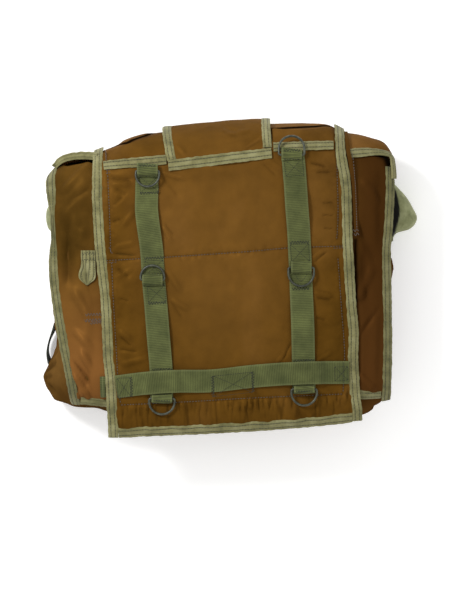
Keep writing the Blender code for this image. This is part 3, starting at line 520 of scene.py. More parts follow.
FLAP_LEFT = (
    (-133.7, -180.2), (-133.9, -170.1), (-135.3, -141.8), (-136.8, -112.4), (-139.0, -91.0),
    (-140.9, -48.0), (-142.6, -18.6), (-148.0, 27.7), (-151.6, 84.2), (-151.8, 117.0), (-148.9, 140.8),
)
FLAP_RIGHT = (
    (141.9, -161.6), (141.5, -153.1), (138.9, -128.3), (137.0, -89.8), (137.4, -59.3), (134.5, -29.9),
    (132.0, 19.8), (130.7, 39.0), (129.6, 74.0), (128.3, 109.0), (122.8, 142.9), (119.3, 168.9),
)


def fold_height(folds, x, y):
    """Height that a table of folds adds at each place."""
    total = np.zeros(np.shape(x))
    for (x0, y0), (x1, y1), half_width, height in folds:
        run_x, run_y = x1 - x0, y1 - y0
        length = math.hypot(run_x, run_y)
        share = ((x - x0) * run_x + (y - y0) * run_y) / length**2
        off = ((x - x0) * run_y - (y - y0) * run_x) / length
        ends = ramp(share, -0.15, 0.2) * (1 - ramp(share, 0.8, 1.15))
        total = total + height * ends * np.exp(-((off / half_width) ** 2))
    return total


def along(line, share):
    """Places at shares of the length of a line, on a smooth curve through its points."""
    line = np.asarray(line, float)
    reach = np.concatenate([[0], np.cumsum(np.hypot(*np.diff(line, axis=0).T))])
    at = np.asarray(share) * reach[-1]
    return np.stack([eased(np.column_stack([reach, line[:, k]]), at) for k in (0, 1)], -1)


def beside(line, distance, points=60):
    """Line beside another in plan, to its right for a distance above nought or a table of them."""
    share = np.linspace(0, 1, points + 1)
    if isinstance(distance, tuple):
        distance = eased(distance, share)
    here = along(line, share)
    heading = along(line, np.minimum(share + 0.01, 1)) - along(line, np.maximum(share - 0.01, 0))
    heading = unit(heading)
    return np.stack([here[:, 0] + distance * heading[:, 1], here[:, 1] - distance * heading[:, 0]], 1)


def above(line, y):
    """The part of an upward line that lies above a y, from the very place where it crosses it."""
    first = np.argmax(line[:, 1] > y)
    low, high = line[first - 1], line[first]
    share = (y - low[1]) / (high[1] - low[1])
    return np.vstack([low + share * (high - low), line[first:]])


def between(start, line, end):
    """Line with its ends moved to two corners."""
    inner = line[(line[:, 0] > start[0] + 2) & (line[:, 0] < end[0] - 2)]
    return np.vstack([start, inner, end])


# Share of the roll's reach over which a raised point stops being set back as it nears the turn.
HOLD = (0.05, 0.35)


def settle(x, y, lift, foot, hold=HOLD):
    """Places on the stuffed surface, as x and travel, whose raised points lie over places in plan."""
    free = np.minimum(eased(TOP_TURN, x) - y, y - eased(foot, x)) / roll(x)[0]
    keep = ramp(free, *hold)
    near_x, near_y = x, y
    for _ in range(2):
        normal = frame_at(near_x, travel_of(near_x, near_y, foot), foot)[3]
        near_x = x - keep * normal[..., 0] * lift
        near_y = y - keep * normal[..., 1] * lift
    return near_x, travel_of(near_x, near_y, foot)


def settled(line, lift, foot, hold=HOLD):
    x, y = np.asarray(line, float).T
    return np.stack(settle(x, y, lift(x, y), foot, hold), 1)


def laid(x, travel, lift, foot):
    """Points that stand off the stuffed surface by a lift, itself a function of places in plan."""
    point, _, _, normal = frame_at(x, travel, foot)
    return point + normal * lift(x, point[..., 1])[..., None]


def near_line(lines, x, y, half_width):
    """1 on any of the lines, falling to nought beside them."""
    nearest = np.full(np.shape(x), 1e9)
    for line in lines:
        for (x0, y0), (x1, y1) in zip(line, line[1:]):
            run = np.array((x1 - x0, y1 - y0))
            share = np.clip(((x - x0) * run[0] + (y - y0) * run[1]) / (run @ run), 0, 1)
            nearest = np.minimum(nearest, np.hypot(x - x0 - share * run[0], y - y0 - share * run[1]))
    return np.exp(-((nearest / half_width) ** 2))


def flat_grid(name, columns, rows):
    """Flat grid and its places as two shares, to be laid."""
    deselect()
    bpy.ops.mesh.primitive_grid_add(x_subdivisions=columns, y_subdivisions=rows, size=2)
    piece = bpy.context.object
    piece.name = piece.data.name = name
    u, v, _ = ((vertices_of(piece) + 1) / 2).T
    return piece, u, v


def finish_cloth(piece, points, u, v, width, length, thick, sewn, finish, node, painted_shade=0.0):
    """Cloth from its grid: laid, marked where it is sewn and where shade is painted, given its thickness and its
    finish.
    """
    put_vertices(piece, points * MM)
    corners = np.empty(len(piece.data.loops), dtype=np.int64)
    piece.data.loops.foreach_get("vertex_index", corners)
    flat = np.stack([u[corners] * width * MM, v[corners] * length * MM], 1)
    piece.data.uv_layers.active.data.foreach_set("uv", flat.ravel())
    for mark, value in (("sewn", sewn), ("painted_shade", painted_shade)):
        shares = np.broadcast_to(value, np.shape(u)).astype(np.float32).copy()
        piece.data.attributes.new(mark, "FLOAT", "POINT").data.foreach_set("value", shares)
    wall = piece.modifiers.new("thickness", "SOLIDIFY")
    wall.thickness = thick * MM
    wall.offset = 1.0
    wall.use_even_offset = True
    apply_modifiers(piece)
    bpy.ops.object.shade_smooth_by_angle(angle=math.radians(60))
    piece.data.materials.append(finish)
    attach(piece, "root")
    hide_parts(node)
    return piece


def crease_shade(lift, x, y):
    """Share of painted shade: nought on smooth or raised cloth, up to 1 down in a crease."""
    reach, depth = 2.2, 0.7
    around = sum(lift(x + reach * i, y + reach * j) for i, j in ((1, 0), (-1, 0), (0, 1), (0, -1))) / 4
    return np.clip((around - lift(x, y)) / depth, 0, 1)


# Half width of a gap painted black as shade, measured on the cloth.
GAP_HALF_WIDTH = 2.4
# Hold that sets raised points back everywhere, past the turn too.
NO_HOLD = (-0.9, -0.8)


def lay_sheet(
    name, node, edges, columns, rows, lift, finish,
    foot=BAG_FOOT, stitched=(), painted_shade=None, hold=HOLD, gaps=(),
):
    """Cloth between four edge lines: left and right run up, foot and top run to the right."""
    left, right, low, top = (settled(edge, lift, foot, hold) for edge in edges)
    piece, u, v = flat_grid(name, columns, rows)
    su, sv = u[:, None], v[:, None]
    spot = (1 - sv) * along(low, u) + sv * along(top, u) + (1 - su) * along(left, v) + su * along(right, v)
    spot = spot - (1 - su) * (1 - sv) * low[0] - su * (1 - sv) * low[-1]
    spot = spot - (1 - su) * sv * top[0] - su * sv * top[-1]
    points = laid(spot[:, 0], spot[:, 1], lift, foot)
    sewn = 0.45 * near_line(stitched, points[:, 0], points[:, 1], 1.1) if stitched else 0.0
    width = np.linalg.norm(low[-1] - low[0])
    length = np.linalg.norm(left[-1] - left[0])
    # Painted shade: darker down in the creases and where a shade function gives it, none of that past the top turn, and
    # near black along the gaps.
    dark = 0.3 * crease_shade(lift, points[:, 0], points[:, 1])
    if painted_shade:
        dark = np.maximum(dark, painted_shade(points[:, 0], points[:, 1]))
    past_turn = spot[:, 1] - eased(TOP_TURN, spot[:, 0]) - (math.pi / 2 - 1) * roll(spot[:, 0])[0]
    dark = dark * (1 - ramp(past_turn, -4.0, 0.0))
    if gaps:
        dark = np.maximum(dark, np.clip(1.5 * near_line(gaps, spot[:, 0], spot[:, 1], GAP_HALF_WIDTH), 0, 1))
    return finish_cloth(piece, points, u, v, width, length, CLOTH_THICK, sewn, finish, node, dark)


def stood_up(width, u, lean):
    """Height of a tape that stands up on one of its edges."""
    return width * np.maximum(u * np.sin(lean), (u - 1) * np.sin(lean))


def lay_strip(
    name, node, line, width, columns, rows, lift, thick, finish,
    foot=BAG_FOOT, taper=None, shape=None, rows_sewn=(), turn=NO_TURN, ragged=0.0,
):
    """Tape or webbing along a middle line, with a cross-section of its own."""
    line = settled(line, lift, foot)
    piece, u, v = flat_grid(name, columns, rows)
    lean = np.radians(eased(turn, v))
    half = width / 2 if taper is None else eased(taper, v)
    length = np.sum(np.hypot(*np.diff(line, axis=0).T))
    half = half * (1 + ragged * lumps(v * length, np.where(u > 0.5, 60.0, 0.0), 5.0, 3.8))
    here = along(line, v)
    heading = unit(along(line, np.minimum(v + 0.01, 1)) - along(line, np.maximum(v - 0.01, 0)))
    off = (2 * u - 1) * half * np.cos(lean)
    x = here[:, 0] + off * heading[:, 1]
    travel = here[:, 1] - off * heading[:, 0]
    point, _, _, normal = frame_at(x, travel, foot)
    rise = lift(x, point[:, 1]) + stood_up(2 * half, u, lean)
    if shape is not None:
        rise = rise + shape(u, v)
    sewn = sum((0.8 * np.exp(-(((u - row) * width / 0.55) ** 2)) for row in rows_sewn), np.zeros(len(u)))
    points = point + normal * rise[:, None]
    piece = finish_cloth(piece, points, u, v, width, length, thick, sewn, finish, node)
    return piece


def panel_lift(x, y):
    """Underside of the front panel: folded where it shows, smooth under the flap."""
    showing = np.maximum(1 - ramp(x, -165.8, -154.8), ramp(x, 131.6, 141.6))
    edge = np.maximum(ramp(np.minimum(x + 201.3, 174.8 - x), 4, 16), 0.25)
    fine = fold_height(PANEL_FINE_FOLDS, x, y) + 0.5 * lumps(x, y * 0.6, 14.0, 5.5)
    pressed = 0.5 * near_line((SEAM_LEFT, SEAM_RIGHT, SEAM_FOOT), x, y, 6.5)
    return PANEL_LIFT + showing * edge * (1.7 * fold_height(PANEL_FOLDS, x, y) + 1.9 * fine) - pressed


def panel_painted_shade(x, y):
    """Painted shade on the panel: beside the flap's right edge, and in the hollows under the lid's two corners."""
    beside_flap = near_line((((139.6, 42.4), (139.8, 17.5), (140.9, -25.4)),), x, y, 2.6)
    beside_flap = beside_flap + 0.45 * near_line((((140.9, -25.4), (143.4, -127.1)),), x, y, 2.2)
    corner = 1.4 * near_line((((168.1, 139.0), (174.4, 135.0), (177.2, 126.0)),), x, y, 3.6)
    left_corner = 1.4 * near_line((((-200.2, 123.7), (-194.0, 126.7), (-186.1, 129.2)),), x, y, 2.0)
    return np.clip(beside_flap + corner + left_corner, 0, 1)


off = SEAM_TAPE_WIDTH / 2 - INTO_TAPE
low = beside(SEAM_FOOT, SEAM_FOOT_OFF)
left = above(beside(SEAM_LEFT, tuple((s, h - min(INTO_TAPE, h / 2)) for s, h in SEAM_LEFT_HALF_WIDTHS)), low[0, 1])
right = above(beside(SEAM_RIGHT, -off), low[-1, 1])
low = between(left[0], low, right[0])
left = np.vstack([left, UNDER_LID_CORNERS[0]])
right = np.vstack([right, UNDER_LID_CORNERS[1]])
top = np.vstack([left[-1], PANEL_TOP[1:-1], right[-1]])
panel_nylon = woven_nylon("front_panel_woven_nylon", "#3A290C", "#493311", "#5D4118", 0.85, 0.75)
panel = lay_sheet("front_panel_cloth", "front_panel", (left, right, low, top), 200, 120, panel_lift, panel_nylon, painted_shade=panel_painted_shade)

# Binding of the front seam: light olive cotton tape, folded over the two raw edges and sewn through
# with two rows, which pull it into ripples.
TAPE_ROWS = (0.24, 0.76)
RAGGED = 0.16


def cotton_tape(name, body, pale, dark):
    made = bpy.data.materials.new(name)
    made.use_nodes = True
    shader = made.node_tree.nodes["Principled BSDF"]
    flat = add(made, "ShaderNodeUVMap").outputs["UV"]
    where = add(made, "ShaderNodeTexCoord").outputs["Object"]
    stains = add(made, "ShaderNodeTexNoise", {"Vector": where, "Scale": 1 / 0.016, "Detail": 5.0, "Roughness": 0.65})
    tones = add(made, "ShaderNodeValToRGB", {"Fac": stains.outputs["Fac"]})
    tones.color_ramp.elements[0].position = 0.32
    tones.color_ramp.elements[0].color = colour(dark)
    tones.color_ramp.elements[1].position = 0.66
    tones.color_ramp.elements[1].color = colour(pale)
    tones.color_ramp.elements.new(0.48).color = colour(body)
    sewn = add(made, "ShaderNodeAttribute", attribute_name="sewn").outputs["Fac"]
    seam_tone = add(made, "ShaderNodeMix", {0: sewn, 6: tones.outputs["Color"], 7: colour("#2E2D1C")}, data_type="RGBA")
    # Painted shade: near black where the cloth is marked as lying in shade.
    painted_shade = add(made, "ShaderNodeAttribute", attribute_name="painted_shade").outputs["Fac"]
    with_painted_shade = add(made, "ShaderNodeMix", {
        0: painted_shade, 6: seam_tone.outputs[2], 7: colour("#0A0A07"),
    }, data_type="RGBA")
    made.node_tree.links.new(with_painted_shade.outputs[2], shader.inputs["Base Color"])
    # Twill ribs of 0.5 mm run across the tape, drawn at 1.1 mm so that they show.
    ribs = add(made, "ShaderNodeTexWave", {"Vector": flat, "Scale": 2 * math.pi / 20 / 0.0011, "Distortion": 0.6}, bands_direction="Y")
    relief = add(made, "ShaderNodeBump", {"Height": ribs.outputs["Fac"], "Strength": 0.3, "Distance": 0.0003})
    fuzz = add(made, "ShaderNodeTexNoise", {"Vector": where, "Scale": 1 / 0.0012, "Detail": 2.0})
    fuzzy = add(made, "ShaderNodeBump", {"Height": fuzz.outputs["Fac"], "Strength": 0.35, "Distance": 0.0005, "Normal": relief.outputs["Normal"]})
    made.node_tree.links.new(fuzzy.outputs["Normal"], shader.inputs["Normal"])
    shader.inputs["Roughness"].default_value = 0.9
    shader.inputs["Specular IOR Level"].default_value = 0.15
    shader.inputs["Sheen Weight"].default_value = 0.1
    shader.inputs["Sheen Roughness"].default_value = 0.6
    return made


binding_tape = cotton_tape("olive_cotton_binding_tape", "#75714A", "#88855E", "#5D5B3A")
# The seam tape is drawn a little darker than the bindings.
seam_tape = cotton_tape("darker_olive_cotton_seam_tape", "#676440", "#797652", "#515032")


def seam_lift(x, y):
    return SEAM_TAPE_LIFT + 0.6 * lumps(x, y, 8.0, 2.2)


def folded_tape(u, v):
    """Section of a folded tape: pressed down in its sewn rows, rounded off at both sides."""
    rows = sum(np.exp(-(((u - row) / 0.07) ** 2)) for row in TAPE_ROWS)
    return -0.35 * rows - 0.7 * np.abs(2 * u - 1) ** 8


for name, node, line, rows, taper, turn in (
    ("seam_binding_left", "seam_tape_left", SEAM_LEFT, 150, SEAM_LEFT_HALF_WIDTHS, NO_TURN),
    ("seam_binding_right", "seam_tape_right", SEAM_RIGHT, 150, None, NO_TURN),
    ("seam_binding_foot", "seam_tape_bottom", SEAM_FOOT, 180, SEAM_FOOT_HALF_WIDTHS, SEAM_FOOT_TURN),
):
    lay_strip(
        name, node, line, SEAM_TAPE_WIDTH, 12, rows, seam_lift, BINDING_THICK, seam_tape,
        taper=taper, shape=folded_tape, rows_sewn=TAPE_ROWS, turn=turn, ragged=RAGGED,
    )

# Lid: the bag's own top cloth, folded over the front and bound at its two corners, where it stands
# a little off the panel and leaves a dark gap.
LID_TAPE_WIDTH = 7.4
LID_LIFT = 2.2
LID_TAPE_LIFT = 2.9
LID_BACK = 27.0
LID_LEFT = ((-198.6, 122.8), (-189.5, 129.7), (-175.9, 132.9), (-157.2, 133.3), (-150.0, 133.0))
LID_RIGHT = (
    (132.6, 140.1), (149.5, 141.8), (164.5, 142.1), (173.2, 140.6), (178.5, 136.3), (181.7, 127.1),
    (183.4, 117.0), (183.4, 112.0),
)
LID_FRONT = (
    (-196.0, 127.4), (-185.0, 132.6), (-175.9, 134.4), (-152.2, 137.4), (-92.3, 148.6), (20.7, 157.6),
    (111.1, 152.2), (137.1, 143.4), (149.5, 144.8), (164.5, 143.8), (173.2, 141.4), (179.3, 137.4),
)
LID_LEFT_HALF_WIDTHS = ((0.0, 0.8), (0.12, 2.2), (0.3, 3.1), (1.0, 3.1))
LID_RIGHT_HALF_WIDTHS = ((0.0, 4.2), (0.22, 4.3), (0.4, 3.0), (0.55, 2.0), (0.8, 1.6), (1.0, 1.4))
LID_LEFT_TURN = ((0.0, -50.0), (1.0, -58.0))


def turned_edge(x_start, x_end, back, points=24):
    """Line along the top turn that lies some way round the roll."""
    x = np.linspace(x_start, x_end, points)
    return np.stack([x, eased(TOP_TURN, x) + back], 1)


# Where the lid lies in deep shade behind the flap's top edge.
LID_GAPS = (
    ((-138.7, 145.8), (-128.5, 150.2), (-118.3, 152.9), (-108.1, 156.3), (-98.0, 159.9), (-91.2, 162.6)),
    ((45.5, 167.1), (59.1, 168.3), (77.2, 169.4), (95.3, 170.3), (112.2, 170.5)),
)


def lid_lift(x, y):
    behind_flap = 1.8 * ramp(x, -138.0, -122.0) * (1 - ramp(x, -100.0, -84.0)) * ramp(y, 148.0, 152.0)
    return LID_LIFT + 0.35 * lumps(x, y, 16.0, 9.1) + behind_flap


def lid_tape_lift(x, y):
    return LID_TAPE_LIFT + 0.25 * lumps(x, y, 9.0, 4.2)


top = turned_edge(LID_FRONT[0][0] + 4, LID_FRONT[-1][0] - 2, LID_BACK)
edges = (np.linspace(LID_FRONT[0], top[0], 6), np.linspace(LID_FRONT[-1], top[-1], 6), LID_FRONT, top)
lid_nylon = woven_nylon("lid_woven_nylon", "#523614", "#63441E", "#6F4E26")
gaps = [settled(line, lid_lift, BAG_FOOT, NO_HOLD) for line in LID_GAPS]
lid = lay_sheet("lid_cloth", "lid", edges, 240, 60, lid_lift, lid_nylon, gaps=gaps)
for name, node, line, rows, taper, turn in (
    ("lid_binding_left", "lid_tape_left", LID_LEFT, 40, LID_LEFT_HALF_WIDTHS, LID_LEFT_TURN),
    ("lid_binding_right", "lid_tape_right", LID_RIGHT, 60, LID_RIGHT_HALF_WIDTHS, NO_TURN),
):
    lay_strip(
        name, node, line, LID_TAPE_WIDTH, 12, rows, lid_tape_lift, BINDING_THICK, binding_tape,
        taper=taper, shape=folded_tape, rows_sewn=TAPE_ROWS, turn=turn, ragged=RAGGED,
    )

# Flap: the large nylon flap over the front. It is bound all round, its pocket seams and webbings are
# sewn through it, and below the lowest seam the slack cloth is gathered into short puckers.
FLAP_LIFT = 2.6
FLAP_OVER_LID = 5.6
FLAP_OVER_START = 107.9
FLAP_OVER_END = 132.8
FLAP_HOLD = (-0.1, -0.02)
FLAP_TAPE_WIDTH = 9.6
TOP_TAPE_WIDTH = 7.4
ON_CLOTH = 0.8
ON_WEBBING = 0.7
EDGE_TAPE_DROP = 0.2
WEBBING_THICK = 1.8
FLAP_HEM = (
    (-127.8, -175.3), (-81.0, -173.0), (-35.8, -171.4), (9.4, -168.7), (54.6, -165.9),
    (99.8, -162.2), (135.9, -157.9),
)
FLAP_TOP = (
    (-143.7, 140.8), (-135.3, 144.2), (-117.2, 150.6), (-99.1, 156.4), (-69.7, 163.6),
    (20.7, 167.8), (77.2, 166.1), (114.5, 166.1),
)
TOP_TAPE_LEFT = ((-144.8, 126.9), (-109.3, 129.8), (-74.0, 133.0))
TOP_TAPE_RIGHT = ((47.1, 147.0), (77.2, 148.3), (114.5, 149.4))
FACING_LINE = (
    (140.8, 49.2), (140.2, 62.7), (139.1, 81.9), (138.0, 104.5), (135.0, 123.7), (131.4, 144.1), (128.3, 159.9),
)
FACING_WIDTH = 4.6
STRAP_LEFT = (
    (-78.9, -140.7), (-79.7, -103.4), (-81.6, -79.7), (-85.5, -32.2), (-88.3, -0.6), (-90.4, 32.2),
    (-95.9, 74.0), (-95.9, 93.2), (-95.4, 120.3),
)
STRAP_RIGHT = (
    (81.6, -130.5), (80.8, -93.2), (79.9, -52.5), (78.3, -14.1), (76.7, 26.6), (75.6, 49.2),
    (73.3, 79.7), (71.3, 110.2), (68.6, 140.7),
)
CROSS_STRAP = (
    (-130.3, -123.5), (-93.9, -119.0), (-67.5, -117.2), (-22.3, -116.5), (25.2, -111.3),
    (77.2, -107.9), (132.1, -107.2),
)
FLAP_FOLDS = (
    ((-125.1, 105.7), (-121.7, 42.4), 13.0, 1.8),
    ((-62.9, 114.7), (34.2, 128.3), 7.0, 1.6),
    ((34.2, 132.8), (56.8, 112.4), 6.0, -0.9),
    ((99.8, 137.3), (112.2, 46.9), 8.0, 1.6),
    ((-47.1, -25.4), (43.3, -2.8), 34.0, 2.6),
    ((-124.0, -2.8), (-112.7, -93.2), 12.0, 1.4),
    ((108.8, 8.5), (115.6, -81.9), 10.0, 1.5),
    ((-128.5, 58.2), (-103.6, 17.5), 6.0, -0.8),
    ((-58.4, 24.3), (54.6, 32.2), 5.0, -0.9),
    ((-124.0, -141.8), (122.4, -131.6), 4.5, -0.9),
)
# Small creases, most of them where the webbings and bindings draw the cloth in.
FLAP_FINE_FOLDS = (
    ((-139.1, 111.9), (-113.8, 110.2), 2.2, -2.2),
    ((-135.3, 105.7), (-114.9, 105.1), 3.0, 1.9),
    ((-130.7, 100.0), (-118.3, 93.2), 2.6, -1.9),
    ((-133.0, 81.9), (-122.8, 91.0), 2.4, -1.6),
    ((-134.1, 62.7), (-125.1, 66.1), 2.4, -1.9),
    ((-124.0, 55.9), (-110.4, 74.0), 2.6, 1.6),
    ((-135.3, 27.7), (-108.1, 24.9), 1.8, -2.1),
    ((-130.7, 34.5), (-110.4, 39.0), 2.6, 1.6),
    ((-129.6, 10.7), (-116.1, 0.6), 2.2, -2.1),
    ((-127.4, 1.7), (-113.8, 8.5), 2.4, 1.6),
    ((-126.2, -23.2), (-116.1, -26.6), 2.0, -1.8),
    ((-126.2, -60.5), (-112.7, -70.6), 2.2, 1.9),
    ((-125.1, -67.2), (-113.8, -77.4), 1.8, -1.9),
    ((-125.1, -80.8), (-107.0, -83.6), 2.0, -1.9),
    ((-122.8, -97.7), (-96.8, -91.0), 2.6, 1.9),
    ((-78.8, 118.1), (-52.8, 111.3), 1.8, 1.6),
    ((-78.8, 113.6), (-60.7, 92.1), 2.4, -1.4),
    ((-77.6, 58.2), (-68.6, 41.2), 1.6, 1.6),
    ((-75.4, 60.5), (-65.2, 46.9), 1.6, -1.4),
    ((-72.0, 6.2), (-58.4, -14.1), 2.2, 1.6),
    ((-67.5, -25.4), (-49.4, -35.6), 2.4, 1.8),
    ((-69.7, -25.4), (-56.2, -45.8), 2.2, -1.4),
    ((88.5, 129.4), (105.4, 124.9), 1.8, -2.1),
    ((90.7, 123.7), (113.3, 121.5), 2.0, 1.9),
    ((95.3, 118.1), (111.1, 119.2), 1.6, -1.6),
    ((102.0, 84.2), (114.5, 84.2), 1.3, -1.6),
    ((102.0, 70.6), (114.5, 70.1), 1.3, -1.6),
    ((103.2, 55.9), (114.5, 54.8), 1.3, -1.6),
    ((90.7, 22.0), (103.2, 31.1), 1.6, 1.6),
    ((93.0, 17.5), (106.6, 28.8), 1.6, -1.6),
    ((94.1, -17.5), (112.2, -20.9), 2.0, 2.2),
    ((95.3, -23.2), (111.1, -25.4), 1.8, -1.9),
    ((94.1, -44.6), (105.4, -48.0), 1.8, -1.6),
    ((58.0, -91.0), (67.0, -74.0), 1.8, -1.9),
    ((51.2, -95.5), (60.2, -84.2), 1.8, 1.6),
    ((94.1, -95.5), (111.1, -84.2), 2.0, 1.3),
    ((38.8, 133.9), (55.7, 121.5), 2.4, 1.6),
    ((34.2, 129.4), (50.1, 114.7), 2.2, -1.3),
    ((-58.4, 127.1), (-1.9, 120.3), 4.0, 1.4),
)
PUCKER_LENGTH = 31.0
PUCKER_HEIGHT = 0.9
# Size of the short pleats below the lowest seam, and their layer of unevenness.
PLEATS = (3.2, 8.8)
FLAP_SEAMS = (
    ((-141.2, 139.0), (-138.7, 87.6), (-136.7, 27.7)),
    ((-135.3, 10.7), (-128.8, -110.2), (-125.7, -141.8)),
    ((-142.3, 19.0), (-69.7, 23.2), (20.7, 29.4), (63.2, 33.3), (126.7, 35.6)),
    ((113.9, 170.1), (119.0, 124.9), (119.9, 65.0), (118.4, 43.5)),
    ((119.9, 22.0), (123.5, -29.9), (127.5, -89.8), (125.8, -129.4)),
    ((-125.7, -144.1), (-58.4, -140.7), (20.7, -136.2), (125.2, -131.6)),
)


# Where the flap is drawn down beside the tongue.
FLAP_SHADOWS = (((44.9, 166.7), (45.1, 154.2)),)


def flap_base_lift(x, y):
    """Underside of the flap with its main folds and puckers, as its webbings see it."""
    over_lid = ramp(y, FLAP_OVER_START, FLAP_OVER_END)
    hem_y = along(FLAP_HEM, np.clip((x - FLAP_HEM[0][0]) / (FLAP_HEM[-1][0] - FLAP_HEM[0][0]), 0, 1))[..., 1]
    near_hem = ramp(y - hem_y, -1, 7) * (1 - ramp(y - hem_y, 8, 20))
    pucker = PUCKER_HEIGHT * near_hem * (1 + np.sin(2 * math.pi * x / PUCKER_LENGTH))
    folds = (1 - over_lid) * fold_height(FLAP_FOLDS, x, y)
    return FLAP_LIFT + (FLAP_OVER_LID - FLAP_LIFT) * over_lid + folds + pucker


def clear_of_webbing(x, y, reach):
    """1 on open cloth, nought under and beside the webbings."""
    return 1 - near_line((STRAP_LEFT, STRAP_RIGHT, CROSS_STRAP), x, y, reach)


def foot_gathering(x, y, start=0, end=8):
    """1 on the gathered cloth between the hem and the lowest seam."""
    hem_y = along(FLAP_HEM, np.clip((x - FLAP_HEM[0][0]) / (FLAP_HEM[-1][0] - FLAP_HEM[0][0]), 0, 1))[..., 1]
    return ramp(y - hem_y, start, end) * (1 - ramp(y - hem_y, 27, 38))


def flap_lift(x, y):
    """Underside of the flap with its small creases, gathers and the dips along its seams."""
    gathered = foot_gathering(x, y)
    tight = foot_gathering(x, y, 12, 22)
    gathers = (1.6 - 0.5 * tight) * lumps(x + 0.25 * y, y * 0.25, 8.0, 6.6)
    gathers = gathers + 3.6 * tight * lumps(x, y * 0.16, *PLEATS)
    creases = 2.2 * lumps(x + 0.5 * y, y * 0.6 - 0.2 * x, 34.0, 1.7) + 0.5 * lumps(x, y, 12.0, 2.9)
    edge = near_line((FLAP_LEFT, FLAP_RIGHT, FLAP_HEM), x, y, 7.5)
    open_cloth = clear_of_webbing(x, y, 17.0) * (1 - edge)
    fine = clear_of_webbing(x, y, 13.5) * (1 - edge) * fold_height(FLAP_FINE_FOLDS, x, y)
    dip = -0.6 * near_line(FLAP_SEAMS, x, y, 1.8) - 1.7 * near_line(FLAP_SHADOWS, x, y, 1.6) - 0.6 * edge
    ripple = 1.1 * near_line(FLAP_SEAMS, x, y, 7.0) * lumps(x, y, 5.0, 3.3)
    small = open_cloth * (creases * (1 - gathered) + gathers * gathered + ripple)
    return flap_base_lift(x, y) + small + fine + dip


def flap_painted_shade(x, y):
    """Painted shade on the flap: down beside the tongue, and in the pleats of its gathered foot."""
    pleats = foot_gathering(x, y) * ramp(-lumps(x, y * 0.16, *PLEATS), 0.05, 0.55)
    return np.clip(near_line(FLAP_SHADOWS, x, y, 1.2) + 0.42 * pleats, 0, 1)


off = FLAP_TAPE_WIDTH / 2 - INTO_TAPE
hem = beside(FLAP_HEM, -off)
left = above(beside(FLAP_LEFT, off), hem[0, 1])
right = above(beside(FLAP_RIGHT, -off), hem[-1, 1])
low = between(left[0], hem, right[0])
top = np.vstack([left[-1], FLAP_TOP[1:-1], right[-1]])
flap_nylon = woven_nylon("flap_woven_nylon", "#513710", "#573B12", "#60421A", middle_highlight=0.36)
flap = lay_sheet(
    "flap_cloth", "flap", (left, right, low, top), 170, 200, flap_lift, flap_nylon, FLAP_FOOT, FLAP_SEAMS,
    flap_painted_shade, FLAP_HOLD,
)


def flap_edge_lift(x, y):
    return flap_base_lift(x, y) - EDGE_TAPE_DROP + 0.6 * lumps(x, y, 8.0, 5.2)


def top_tape_lift(x, y):
    return flap_base_lift(x, y) + CLOTH_THICK + ON_CLOTH


for name, node, line, rows in (
    ("flap_binding_left", "flap_tape_left", FLAP_LEFT, 190),
    ("flap_binding_right", "flap_tape_right", FLAP_RIGHT, 190),
    ("flap_binding_hem", "flap_tape_bottom", FLAP_HEM, 170),
):
    lay_strip(name, node, line, FLAP_TAPE_WIDTH, 12, rows, flap_edge_lift, BINDING_THICK, binding_tape, FLAP_FOOT, shape=folded_tape, rows_sewn=TAPE_ROWS, ragged=RAGGED)
for name, node, line, rows in (
    ("flap_top_tape_left", "flap_tape_top_left", TOP_TAPE_LEFT, 50),
    ("flap_top_tape_right", "flap_tape_top_right", TOP_TAPE_RIGHT, 50),
):
    lay_strip(name, node, line, TOP_TAPE_WIDTH, 12, rows, top_tape_lift, WEBBING_THICK, binding_tape, FLAP_FOOT, shape=folded_tape, rows_sewn=TAPE_ROWS, ragged=RAGGED)
lay_strip("flap_facing_cloth", "flap_facing", FACING_LINE, FACING_WIDTH, 6, 80, flap_edge_lift, CLOTH_THICK, panel_nylon, FLAP_FOOT)

# Tongue: a short nylon tongue that comes over the top from the back and lies on the flap's top edge,
# bound on the three sides that show.
TONGUE_RISE = 2.6
TONGUE_TAPE_WIDTH = 8.0
TONGUE_BACK = 33.0
TONGUE_LEFT = ((-67.9, 132.3), (-70.2, 144.1), (-72.4, 156.5))
TONGUE_RIGHT = ((40.1, 146.3), (39.2, 156.5), (38.5, 165.5))
TONGUE_HEM = ((-71.5, 126.4), (-35.8, 130.5), (3.7, 135.3), (44.9, 140.2))
TONGUE_FOLDS = (
    ((-62.9, 146.3), (-51.6, 136.2), 2.4, 1.4),
    ((-11.0, 164.4), (9.4, 155.4), 3.0, -1.2),
    ((-6.4, 154.2), (20.7, 158.8), 2.6, 1.3),
    ((13.9, 142.9), (33.1, 154.2), 2.0, -1.3),
    ((20.7, 141.8), (34.2, 148.6), 2.0, 1.2),
    ((-47.1, 173.5), (-1.9, 176.8), 4.0, 1.2),
)


def tongue_lift(x, y):
    return flap_base_lift(x, np.minimum(y, FLAP_OVER_END)) + TONGUE_RISE + 0.5 * lumps(x, y, 15.0, 7.3)


def tongue_cloth_lift(x, y):
    edge = near_line((TONGUE_LEFT, TONGUE_RIGHT, TONGUE_HEM), x, y, 6.0)
    return tongue_lift(x, y) - 0.5 * edge + (1 - edge) * fold_height(TONGUE_FOLDS, x, y)


def tongue_tape_lift(x, y):
    return tongue_lift(x, y) - EDGE_TAPE_DROP


def with_back(line):
    """Side line of the tongue, carried on round the roll."""
    x = line[-1][0]
    return [*line, *[(x, float(eased(TOP_TURN, x)) + share * TONGUE_BACK) for share in (0.1, 0.55, 1.0)]]


